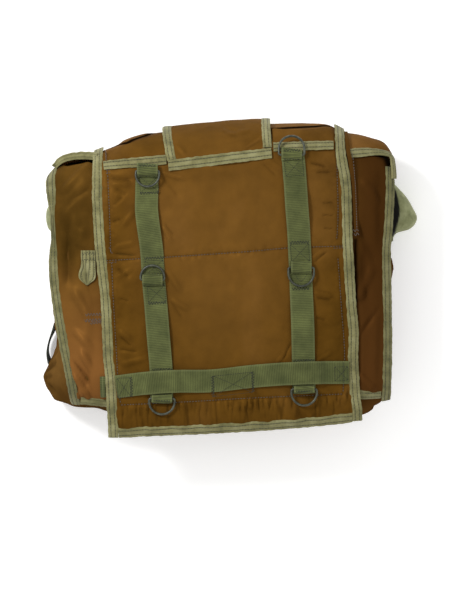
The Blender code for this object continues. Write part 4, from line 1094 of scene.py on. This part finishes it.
off = TONGUE_TAPE_WIDTH / 2 - INTO_TAPE
left_line, right_line = with_back(TONGUE_LEFT), with_back(TONGUE_RIGHT)
left, right = beside(left_line, off), beside(right_line, -off)
low = between(left[0], beside(TONGUE_HEM, -off), right[0])
top = turned_edge(left[-1, 0], right[-1, 0], TONGUE_BACK)
tongue = lay_sheet("tongue_cloth", "tongue", (left, right, low, top), 90, 70, tongue_cloth_lift, flap_nylon)
for name, node, line, rows in (
    ("tongue_binding_left", "tongue_tape_left", left_line, 70),
    ("tongue_binding_right", "tongue_tape_right", right_line, 70),
    ("tongue_binding_hem", "tongue_tape_bottom", TONGUE_HEM, 90),
):
    lay_strip(name, node, line, TONGUE_TAPE_WIDTH, 12, rows, tongue_tape_lift, BINDING_THICK, binding_tape, shape=folded_tape, rows_sewn=TAPE_ROWS, ragged=RAGGED)

# Webbings: two uprights and one across the foot, of olive nylon webbing 25 mm wide with a rib every
# 1.9 mm. They are boxed down in places and bow up a little between them.
WEBBING_WIDTH = 24.6
LEFT_ARCHES = ((-104.5, -29.9, 2.6), (23.2, 96.6, 3.2))
RIGHT_ARCHES = ((-93.2, -14.1, 2.4), (40.1, 111.3, 3.0))
CROSS_ARCHES = ((-113.8, -22.3, 1.8), (25.2, 115.6, 2.0))
CROSSED_HALF = 14.5
CROSSED_EASE = 10.0
RIB = 0.0019


def ribbed_webbing(name, body, pale, dark):
    made = bpy.data.materials.new(name)
    made.use_nodes = True
    shader = made.node_tree.nodes["Principled BSDF"]
    flat = add(made, "ShaderNodeUVMap").outputs["UV"]
    where = add(made, "ShaderNodeTexCoord").outputs["Object"]
    # A wave texture repeats every 2 pi / 20 of its scaled length.
    ribs = add(made, "ShaderNodeTexWave", {"Vector": flat, "Scale": 2 * math.pi / 20 / RIB, "Distortion": 0.4, "Detail": 1.0}, bands_direction="Y")
    stains = add(made, "ShaderNodeTexNoise", {"Vector": where, "Scale": 1 / 0.02, "Detail": 5.0, "Roughness": 0.6})
    tones = add(made, "ShaderNodeValToRGB", {"Fac": stains.outputs["Fac"]})
    tones.color_ramp.elements[0].position = 0.3
    tones.color_ramp.elements[0].color = colour(dark)
    tones.color_ramp.elements[1].position = 0.7
    tones.color_ramp.elements[1].color = colour(pale)
    tones.color_ramp.elements.new(0.5).color = colour(body)
    between = add(made, "ShaderNodeMapRange", {"Value": ribs.outputs["Fac"], "To Min": 0.66, "To Max": 1.16})
    ribbed = add(made, "ShaderNodeVectorMath", {0: tones.outputs["Color"]}, operation="SCALE")
    made.node_tree.links.new(between.outputs["Result"], ribbed.inputs["Scale"])
    sewn = add(made, "ShaderNodeAttribute", attribute_name="sewn").outputs["Fac"]
    seam_tone = add(made, "ShaderNodeMix", {0: sewn, 6: ribbed.outputs["Vector"], 7: colour("#686C45")}, data_type="RGBA")
    made.node_tree.links.new(seam_tone.outputs[2], shader.inputs["Base Color"])
    relief = add(made, "ShaderNodeBump", {"Height": ribs.outputs["Fac"], "Strength": 0.5, "Distance": 0.0005})
    fuzz = add(made, "ShaderNodeTexNoise", {"Vector": where, "Scale": 1 / 0.001, "Detail": 2.0})
    fuzzy = add(made, "ShaderNodeBump", {"Height": fuzz.outputs["Fac"], "Strength": 0.2, "Distance": 0.0004, "Normal": relief.outputs["Normal"]})
    made.node_tree.links.new(fuzzy.outputs["Normal"], shader.inputs["Normal"])
    shader.inputs["Roughness"].default_value = 0.75
    shader.inputs["Specular IOR Level"].default_value = 0.2
    shader.inputs["Sheen Weight"].default_value = 0.06
    return made


olive_webbing = ribbed_webbing("olive_ribbed_nylon_webbing", "#4D522B", "#5A6034", "#404622")


def strap_lift(arches, x, y, at):
    """Underside of a webbing on the flap, with the stretches that stand off it."""
    lift = flap_base_lift(x, y) + CLOTH_THICK + ON_CLOTH
    for start, end, height in arches:
        share = np.clip((at - start) / (end - start), 0, 1)
        lift = lift + height * np.sin(math.pi * share) ** 1.5
    return lift


def left_strap_lift(x, y):
    return strap_lift(LEFT_ARCHES, x, y, y)


def right_strap_lift(x, y):
    return strap_lift(RIGHT_ARCHES, x, y, y)


def cross_lift(x, y):
    """Underside of the cross webbing, which climbs over both upright webbings."""
    over = np.zeros(np.shape(x))
    for line in (STRAP_LEFT, STRAP_RIGHT):
        over = np.maximum(over, 1 - ramp(np.abs(x - line[1][0]) - CROSSED_HALF, 0, CROSSED_EASE))
    return strap_lift(CROSS_ARCHES, x, y, x) + over * (WEBBING_THICK + ON_WEBBING)


def woven_edge(u, v):
    """Section of a webbing: flat, with thin rounded selvedges."""
    return -0.5 * np.abs(2 * u - 1) ** 14


for name, node, line, rows, lift in (
    ("webbing_left", "strap_left", STRAP_LEFT, 180, left_strap_lift),
    ("webbing_right", "strap_right", STRAP_RIGHT, 180, right_strap_lift),
    ("webbing_across", "cross_strap", CROSS_STRAP, 180, cross_lift),
):
    lay_strip(name, node, line, WEBBING_WIDTH, 24, rows, lift, WEBBING_THICK, olive_webbing, FLAP_FOOT, shape=woven_edge, rows_sewn=(0.02, 0.98))

# Rings: wire D-rings, bent and butt-welded from 2.6 mm steel, dipped dark. Each is held by a short
# piece of webbing over its straight side, and lies loose on the webbing.
WIRE = 2.6
RING_LIFT = 0.8
RING_CORNER = 1.8
LOOP_WIDTH = 21.6
LOOP_THICK = 1.5
LOOP_CLEAR = 0.6
RINGS = (
    ("left_top", (-95.0, 120.3), 29.0, 20.5, -1, 13.0),
    ("left_mid", (-89.4, -2.8), 29.5, 19.0, 1, 12.0),
    ("left_bottom", (-78.8, -136.5), 31.5, 20.5, -1, 8.6),
    ("right_top", (67.6, 137.9), 31.5, 24.5, 1, 11.0),
    ("right_mid", (78.3, 11.3), 31.5, 23.5, -1, 13.0),
    ("right_bottom", (81.7, -126.0), 31.5, 21.0, -1, 8.0),
)
dipped_steel = bpy.data.materials.new("dark_dipped_steel_wire")
dipped_steel.use_nodes = True
shader = dipped_steel.node_tree.nodes["Principled BSDF"]
where = add(dipped_steel, "ShaderNodeTexCoord").outputs["Object"]
worn = add(dipped_steel, "ShaderNodeTexNoise", {"Vector": where, "Scale": 1 / 0.005, "Detail": 4.0})
tones = add(dipped_steel, "ShaderNodeValToRGB", {"Fac": worn.outputs["Fac"]})
tones.color_ramp.elements[0].position = 0.4
tones.color_ramp.elements[0].color = colour("#303329")
tones.color_ramp.elements[1].position = 0.65
tones.color_ramp.elements[1].color = colour("#4A4D40")
dipped_steel.node_tree.links.new(tones.outputs["Color"], shader.inputs["Base Color"])
shader.inputs["Metallic"].default_value = 0.35
shader.inputs["Roughness"].default_value = 0.45

keeper_lifts = {}
for name, middle, width, height, way, loop_length in RINGS:
    x, y = (np.float64(c) for c in middle)
    bed = float(flap_base_lift(x, y)) + CLOTH_THICK + ON_CLOTH + WEBBING_THICK
    lift = bed + RING_LIFT + WIRE / 2
    origin, across, up, normal = frame_at(*settle(x, y, lift, FLAP_FOOT), FLAP_FOOT)
    origin = origin + normal * lift
    radius = (width - WIRE) / 2
    leg = height - WIRE - radius
    outline = [(-radius + RING_CORNER, 0), (0, 0), (radius - RING_CORNER, 0), (radius - RING_CORNER / 3, RING_CORNER / 3), (radius, RING_CORNER)]
    for angle in np.linspace(0, math.pi, 31):
        outline.append((radius * math.cos(angle), leg + radius * math.sin(angle)))
    outline.append((-radius, RING_CORNER))
    outline.append((-radius + RING_CORNER / 3, RING_CORNER / 3))
    curve = bpy.data.curves.new(f"wire_ring_{name}", "CURVE")
    curve.dimensions = "3D"
    curve.bevel_depth = WIRE / 2 * MM
    curve.bevel_resolution = 4
    spline = curve.splines.new("POLY")
    spline.points.add(len(outline) - 1)
    spline.use_cyclic_u = True
    for knot, (off_x, off_y) in zip(spline.points, outline):
        knot.co = (*((origin + across * off_x + up * way * off_y) * MM), 1)
    ring = bpy.data.objects.new(f"wire_ring_{name}", curve)
    bpy.context.collection.objects.link(ring)
    deselect()
    ring.select_set(True)
    bpy.context.view_layer.objects.active = ring
    bpy.ops.object.convert(target="MESH")
    bpy.ops.object.shade_smooth()
    ring = bpy.context.object
    ring.data.materials.append(dipped_steel)
    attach(ring, "root")
    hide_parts(f"ring_{name}")

    def loop_lift(at_x, at_y, y=y, bed=bed, loop_length=loop_length):
        share = np.minimum(np.abs(at_y - y) / (loop_length / 2), 1.0)
        under = flap_base_lift(at_x, at_y) + CLOTH_THICK + ON_CLOTH + WEBBING_THICK + ON_WEBBING
        over = np.maximum(under, bed + RING_LIFT + WIRE + LOOP_CLEAR)
        return over * (1 - ramp(share, 0.45, 1.0)) + under * ramp(share, 0.45, 1.0)

    keeper_lifts[name] = loop_lift
    line = ((x, y - loop_length / 2), (x, y), (x, y + loop_length / 2))
    lay_strip(f"ring_keeper_{name}", f"loop_{name}", line, LOOP_WIDTH, 24, 24, loop_lift, LOOP_THICK, olive_webbing, FLAP_FOOT, shape=woven_edge, rows_sewn=(0.02, 0.98))

# Tab on the left of the panel: a doubled piece of binding tape with a pointed end, sewn down at its
# top, and the turned end of the cross webbing that comes out beside the flap.
TAB_LINE = ((-163.7, -8.8), (-162.7, -0.6), (-162.0, 15.3), (-162.2, 30.6))
TAB_HALF_WIDTHS = ((0.0, 0.8), (0.2, 9.0), (0.55, 8.4), (1.0, 7.8))
CROSS_END_LINE = ((-145.0, -134.6), (-145.7, -111.8))
CROSS_END_WIDTH = 6.0
TAB_ROW = ((-163.0, -3.0), (-162.4, 6.0), (-162.0, 18.0), (-162.2, 29.0))


def tab_lift(x, y):
    return panel_lift(x, y) + CLOTH_THICK + ON_CLOTH


def cross_end_lift(x, y):
    return PANEL_LIFT + CLOTH_THICK + ON_CLOTH + 0 * x


tab = lay_strip("pointed_tab", "side_tab", TAB_LINE, 17.0, 24, 50, tab_lift, BINDING_THICK, binding_tape, taper=TAB_HALF_WIDTHS, rows_sewn=(0.12, 0.37, 0.63, 0.88))
cross_end = lay_strip("webbing_across_end", "cross_strap_end", CROSS_END_LINE, CROSS_END_WIDTH, 8, 30, cross_end_lift, WEBBING_THICK, olive_webbing, rows_sewn=(0.5,))

# Canvas shoulder straps: pale green cotton canvas that leaves the side seams and folds back under
# the pack, so only a soft fold shows at each side.
CANVAS_THICK = 2.2
CANVAS_TOP_Z = 40.0
CANVAS_LOW_Z = 5.0
CANVAS_OFF_WALL = 1.4
CANVAS_TUCK = 5.0
CANVAS_ROUNDNESS = 0.8
CANVAS_RIGHT = (
    (41.8, 182.8), (52.5, 189.0), (57.6, 204.9), (67.2, 211.3), (78.5, 206.9), (91.5, 199.2), (105.7, 186.2),
)
CANVAS_LEFT = ((53.7, -206.0), (58.2, -210.2), (68.4, -211.6), (77.4, -210.8), (83.1, -207.2))
# Mouth of the right fold, painted dark as shade: its outer edge in x at each y.
FOLD_MOUTH = (
    (44.0, 180.0), (48.0, 182.3), (55.9, 186.7), (70.6, 190.7), (81.9, 190.2), (96.6, 186.5), (105.0, 181.5),
)

canvas = cotton_tape("pale_green_cotton_canvas", "#84875F", "#999C74", "#6D704D")
for name, node, table, wall_line, hand in (
    ("canvas_strap_right", "shoulder_strap_right", CANVAS_RIGHT, BELLY_RIGHT, 1),
    ("canvas_strap_left", "shoulder_strap_left", CANVAS_LEFT, BELLY_LEFT, -1),
):
    piece, u, v = flat_grid(name, 60, 60)
    y = table[0][0] + v * (table[-1][0] - table[0][0])
    angle = u * math.pi
    root = eased(wall_line, y) + hand * (CANVAS_OFF_WALL - CANVAS_TUCK * u)
    reach = hand * np.maximum(hand * eased(table, y) - CANVAS_THICK, hand * root + 1.0)
    x = root + (reach - root) * np.sin(angle) ** CANVAS_ROUNDNESS
    z = (CANVAS_TOP_Z + CANVAS_LOW_Z) / 2 + (CANVAS_TOP_Z - CANVAS_LOW_Z) / 2 * np.cos(angle)
    if hand < 0:
        deselect()
        piece.select_set(True)
        bpy.context.view_layer.objects.active = piece
        bpy.ops.object.mode_set(mode="EDIT")
        bpy.ops.mesh.select_all(action="SELECT")
        bpy.ops.mesh.flip_normals()
        bpy.ops.object.mode_set(mode="OBJECT")
    x = x + hand * 0.6 * np.sin(angle) * lumps(y, z, 9.0, 4.4)
    # Painted shade in the mouth of the right fold.
    fold_mouth_shade = (1 - ramp(x - eased(FOLD_MOUTH, y), -0.8, 0.6)) * (hand > 0)
    finish_cloth(piece, np.stack([x, y, z], 1), u, v, 60.0, 64.0, CANVAS_THICK, 0.0, canvas, node, fold_mouth_shade)

# Loop at the lower left: a narrow webbing that leaves the side and comes back to it. Its visible face lies in shade, so
# its colour is darkened as painted shade.
LOWER_STRAP = ((-208.0, -98.0), (-209.0, -93.0), (-209.6, -85.3), (-207.6, -74.0), (-203.4, -60.5), (-201.0, -52.0))
LOWER_STRAP_LEAN = 4.5
LOWER_STRAP_LOW_Z = 5.0
LOWER_STRAP_HIGH_Z = 25.0
webbing_in_painted_shade = ribbed_webbing("nylon_webbing_in_painted_shade", "#23281E", "#3A4030", "#181B14")
piece, u, v = flat_grid("lower_loop", 20, 60)
spot = along(LOWER_STRAP, v)
x = spot[:, 0] + LOWER_STRAP_LEAN * (1 - u) * (1 - np.sin(math.pi * v))
z = LOWER_STRAP_LOW_Z + u * (LOWER_STRAP_HIGH_Z - LOWER_STRAP_LOW_Z)
finish_cloth(piece, np.stack([x, spot[:, 1], z], 1), u, v, 20.0, 50.0, WEBBING_THICK, 0.0, webbing_in_painted_shade, "lower_strap_left")

# Stitching: grey-violet thread on the nylon, dark olive on tape and webbing. Each stitch is a short
# raised length of thread, drawn a little thick so that it shows.
STITCH_PITCH = 3.2
STITCH_LENGTH = 2.3
STITCH_WIDTH = 0.9


def thread(name, code):
    made = bpy.data.materials.new(name)
    made.use_nodes = True
    shader = made.node_tree.nodes["Principled BSDF"]
    where = add(made, "ShaderNodeTexCoord").outputs["Object"]
    worn = add(made, "ShaderNodeTexNoise", {"Vector": where, "Scale": 1 / 0.008, "Detail": 2.0})
    tones = add(made, "ShaderNodeMix", {0: worn.outputs["Fac"], 6: tuple(0.7 * c for c in colour(code)[:3]) + (1,), 7: tuple(1.25 * c for c in colour(code)[:3]) + (1,)}, data_type="RGBA")
    made.node_tree.links.new(tones.outputs[2], shader.inputs["Base Color"])
    shader.inputs["Roughness"].default_value = 0.8
    return made


grey_thread = thread("grey_violet_polyester_thread", "#554C45")
olive_thread = thread("dark_olive_cotton_thread", "#22251B")


def run_of(line, lift, foot, pitch=STITCH_PITCH):
    """Places, headings and outward directions of the stitches along a line."""
    spots = settled(line, lift, foot)
    reach = np.sum(np.hypot(*np.diff(spots, axis=0).T))
    count = max(int(reach / pitch), 1)
    share = (np.arange(count) + 0.5) / count
    here, ahead = along(spots, share), along(spots, share + 0.002)
    point = laid(here[:, 0], here[:, 1], lift, foot)
    heading = unit(laid(ahead[:, 0], ahead[:, 1], lift, foot) - point)
    return point, heading, frame_at(here[:, 0], here[:, 1], foot)[3]


def run_on_tape(line, row, width, lift, thick, foot, halves, turn, pitch=STITCH_PITCH):
    """Stitches along a tape that may be tapered or stood up, in a row at a share of its width."""
    spots = settled(line, lift, foot)
    reach = np.sum(np.hypot(*np.diff(spots, axis=0).T))
    count = int(reach / pitch)
    share = (np.arange(count) + 0.5) / count

    def top_at(share):
        lean = np.radians(eased(turn, share))
        half = width / 2 if halves is None else eased(halves, share)
        way = unit(along(spots, np.minimum(share + 0.01, 1)) - along(spots, np.maximum(share - 0.01, 0)))
        off = (2 * row - 1) * half * np.cos(lean)
        here = along(spots, share)
        x, travel = here[:, 0] + off * way[:, 1], here[:, 1] - off * way[:, 0]
        point, _, _, normal = frame_at(x, travel, foot)
        rise = lift(x, point[:, 1]) + stood_up(2 * half, row, lean) + thick * np.cos(lean)
        return point + normal * rise[:, None] + unit(np.cross(normal, np.stack([
            way[:, 0], way[:, 1], 0 * share], 1))) * (-thick * np.sin(lean))[:, None], normal

    point, normal = top_at(share)
    return point, unit(top_at(share + 0.003)[0] - point), normal


def sew(name, runs, finish, length=STITCH_LENGTH, width=STITCH_WIDTH):
    """One piece of many stitches, each a copy of one small rounded length of thread."""
    deselect()
    bpy.ops.mesh.primitive_uv_sphere_add(segments=6, ring_count=4, radius=1)
    first = bpy.context.object
    shape = vertices_of(first)
    faces = [tuple(p.vertices) for p in first.data.polygons]
    bpy.data.objects.remove(first)
    place = np.concatenate([r[0] for r in runs])
    heading = np.concatenate([r[1] for r in runs])
    normal = np.concatenate([r[2] for r in runs])
    across = unit(np.cross(heading, normal))
    points = (
        place[:, None] + heading[:, None] * shape[None, :, 2:3] * length / 2
        + across[:, None] * shape[None, :, 0:1] * width / 2 + normal[:, None] * shape[None, :, 1:2] * width * 0.4
    )
    count, corners = points.shape[:2]
    mesh = bpy.data.meshes.new(name)
    mesh.from_pydata((points.reshape(-1, 3) * MM).tolist(), [], [tuple(c + k * corners for c in face) for k in range(count) for face in faces])
    mesh.shade_smooth()
    piece = bpy.data.objects.new(name, mesh)
    bpy.context.collection.objects.link(piece)
    piece.data.materials.append(finish)
    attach(piece, "root")
    return piece


def on(lift, thick):
    """Lift of the top of a layer whose underside has a lift."""
    return lambda x, y: lift(x, y) + thick


def zigzag(start, end, height, step=1.5):
    """Line that goes to and fro across the way from one place to another."""
    start, end = np.array(start), np.array(end)
    reach = np.linalg.norm(end - start)
    count = max(int(reach / step), 2)
    side = np.array((-(end - start)[1], (end - start)[0])) / reach * height / 2
    return [tuple(start + (end - start) * i / count + side * (-1) ** i) for i in range(count + 1)]


def boxed(corners):
    """Lines of a sewn box with a cross in it."""
    a, b, c, d = corners
    return [(a, b), (b, c), (c, d), (d, a), (a, c), (b, d)]


# Second rows and back-tacks at the ends of the pocket seams, and the row that crosses the top tape.
BACK_TACKS = (
    ((-142.3, 16.4), (-129.6, 17.5)), ((114.5, 33.1), (126.9, 33.6)), ((-138.9, 34.5), (-134.6, 26.6)),
    ((-135.7, 17.5), (-134.8, 5.1)), ((-141.1, 139.6), (-140.7, 119.2)), ((-142.6, 121.5), (-137.0, 121.5)),
    ((-142.6, 118.1), (-137.0, 118.5)), ((128.0, 35.0), (135.9, 37.3)),
)
FACING_ROW = ((136.2, 141.8), (139.3, 110.2), (140.7, 81.9), (141.4, 55.9))
PANEL_TACKS = (
    ((-165.2, -42.1), (-146.0, -41.5), 2.2), ((-166.3, -48.7), (-145.4, -47.8), 2.6), ((-160.1, -51.9), (-145.4, -50.3), 1.8),
)
FACING_TACKS = (((137.6, 53.1), (143.3, 53.7), 2.4), ((138.2, 48.6), (143.8, 49.2), 2.4))
nylon_runs = [run_of(line, on(flap_lift, CLOTH_THICK + 0.15), FLAP_FOOT) for line in FLAP_SEAMS]
nylon_runs += [run_of(line, on(flap_lift, CLOTH_THICK + 0.2), FLAP_FOOT, 2.6) for line in BACK_TACKS]
nylon_runs.append(run_of(FACING_ROW, on(flap_edge_lift, CLOTH_THICK + 0.1), FLAP_FOOT, 2.8))
for start, end, height in PANEL_TACKS:
    nylon_runs.append(run_of(zigzag(start, end, height), on(panel_lift, CLOTH_THICK + 0.15), BAG_FOOT, 1.7))
for start, end, height in FACING_TACKS:
    nylon_runs.append(run_of(zigzag(start, end, height), on(flap_edge_lift, CLOTH_THICK + 0.2), FLAP_FOOT, 1.7))
sew("flap_seams", nylon_runs, grey_thread)

tape_runs = []
for line, width, lift, foot, turn in (
    (SEAM_LEFT, SEAM_TAPE_WIDTH, seam_lift, BAG_FOOT, NO_TURN),
    (SEAM_RIGHT, SEAM_TAPE_WIDTH, seam_lift, BAG_FOOT, NO_TURN),
    (SEAM_FOOT, SEAM_TAPE_WIDTH, seam_lift, BAG_FOOT, SEAM_FOOT_TURN),
    (LID_LEFT, LID_TAPE_WIDTH, lid_tape_lift, BAG_FOOT, LID_LEFT_TURN),
    (LID_RIGHT, LID_TAPE_WIDTH, lid_tape_lift, BAG_FOOT, NO_TURN),
    (FLAP_LEFT, FLAP_TAPE_WIDTH, flap_edge_lift, FLAP_FOOT, NO_TURN),
    (FLAP_RIGHT, FLAP_TAPE_WIDTH, flap_edge_lift, FLAP_FOOT, NO_TURN),
    (FLAP_HEM, FLAP_TAPE_WIDTH, flap_edge_lift, FLAP_FOOT, NO_TURN),
    (TOP_TAPE_LEFT, TOP_TAPE_WIDTH, top_tape_lift, FLAP_FOOT, NO_TURN),
    (TOP_TAPE_RIGHT, TOP_TAPE_WIDTH, top_tape_lift, FLAP_FOOT, NO_TURN),
    (left_line, TONGUE_TAPE_WIDTH, tongue_tape_lift, BAG_FOOT, NO_TURN),
    (right_line, TONGUE_TAPE_WIDTH, tongue_tape_lift, BAG_FOOT, NO_TURN),
    (TONGUE_HEM, TONGUE_TAPE_WIDTH, tongue_tape_lift, BAG_FOOT, NO_TURN),
):
    halves = {
        id(SEAM_LEFT): SEAM_LEFT_HALF_WIDTHS, id(SEAM_FOOT): SEAM_FOOT_HALF_WIDTHS,
        id(LID_LEFT): LID_LEFT_HALF_WIDTHS, id(LID_RIGHT): LID_RIGHT_HALF_WIDTHS,
    }.get(id(line))
    thick = (WEBBING_THICK if lift is top_tape_lift else BINDING_THICK) - 0.25
    for row in TAPE_ROWS:
        tape_runs.append(run_on_tape(line, row, width, lift, thick, foot, halves, turn))
sew("tape_seams", tape_runs, olive_thread, 2.3, 0.8)

# Boxes, crosses and close rows on the webbings, and the rows that hold the tab.
WEBBING_TOP = WEBBING_THICK + 0.1
LEFT_WEBBING_SEWN = [
    *boxed(((-104.2, 113.6), (-83.3, 114.1), (-82.2, 96.6), (-103.1, 95.5))),
    zigzag((-103.6, 94.9), (-82.2, 96.0), 2.0),
    zigzag((-98.5, 21.5), (-77.1, 22.6), 2.2), *boxed(((-98.0, 18.6), (-77.6, 19.8), (-77.1, 3.4), (-96.8, 2.8))),
    zigzag((-95.7, 2.8), (-77.1, 3.6), 2.2),
    *boxed(((-95.1, -9.6), (-75.9, -8.5), (-74.2, -27.1), (-94.0, -28.2))),
    zigzag((-95.1, -8.5), (-75.9, -7.3), 2.2), zigzag((-94.0, -29.4), (-74.2, -28.2), 2.2),
    zigzag((-89.5, -103.8), (-67.5, -103.4), 1.6),
]
RIGHT_WEBBING_SEWN = [
    *boxed(((58.5, 134.1), (79.4, 135.3), (81.7, 115.3), (61.4, 114.2))),
    zigzag((58.5, 135.7), (79.4, 136.6), 2.2),
    *boxed(((65.9, 37.3), (86.8, 38.4), (87.9, 18.6), (67.6, 17.5))),
    zigzag((65.3, 39.4), (86.8, 40.3), 2.2), zigzag((67.6, 15.9), (87.9, 17.1), 2.2),
    ((69.3, 6.2), (78.1, -4.0), (86.8, 6.2)), zigzag((68.1, -13.0), (87.3, -12.3), 2.2),
    zigzag((68.7, -93.9), (93.0, -93.0), 1.6),
]
CROSS_WEBBING_SEWN = [
    *boxed(((-129.6, -114.1), (-114.4, -113.0), (-113.8, -134.5), (-129.0, -135.6))),
    zigzag((-113.5, -112.4), (-112.9, -134.5), 2.0),
    *boxed(((-20.6, -111.3), (22.9, -106.8), (23.5, -129.4), (-20.0, -134.5))),
    zigzag((-21.6, -111.3), (-21.1, -135.0), 2.2), zigzag((23.6, -106.2), (24.1, -129.4), 2.2),
    *boxed(((116.2, -101.1), (130.9, -100.7), (131.4, -115.8), (116.7, -117.0))),
    ((126.0, -95.5), (126.4, -119.2)),
]
webbing_runs, bar_runs = [], []
for lines, lift in (
    (LEFT_WEBBING_SEWN, left_strap_lift),
    (RIGHT_WEBBING_SEWN, right_strap_lift),
    (CROSS_WEBBING_SEWN, cross_lift),
):
    for line in lines:
        runs, pitch = (bar_runs, 1.6) if len(line) > 3 else (webbing_runs, 2.1)
        runs.append(run_of(line, on(lift, WEBBING_TOP), FLAP_FOOT, pitch))
for name, middle, width, height, way, loop_length in RINGS:
    x, y = middle
    for side in (-1, 1):
        row_y = y + side * (loop_length / 2 - 1.3)
        row = zigzag((x - 9.0, row_y), (x + 9.0, row_y), 1.8)
        bar_runs.append(run_of(row, on(keeper_lifts[name], LOOP_THICK + 0.1), FLAP_FOOT, 1.6))
for row in (((-169.2, 26.8), (-153.9, 27.5)), ((-169.4, 19.5), (-153.3, 20.5))):
    webbing_runs.append(run_of(zigzag(*row, 2.2), on(tab_lift, BINDING_THICK + 0.1), BAG_FOOT, 1.8))
for share in (0.12, 0.36, 0.62, 0.88):
    row = [(x + (2 * share - 1) * float(eased(TAB_HALF_WIDTHS, s)), y) for s, (x, y) in zip((0.15, 0.3, 0.7, 1.0), TAB_ROW)]
    webbing_runs.append(run_of(row, on(tab_lift, BINDING_THICK + 0.05), BAG_FOOT, 2.6))
sew("webbing_boxes", webbing_runs, olive_thread, 1.7, 0.6)
sew("webbing_bars", bar_runs, olive_thread, 1.8, 1.0)
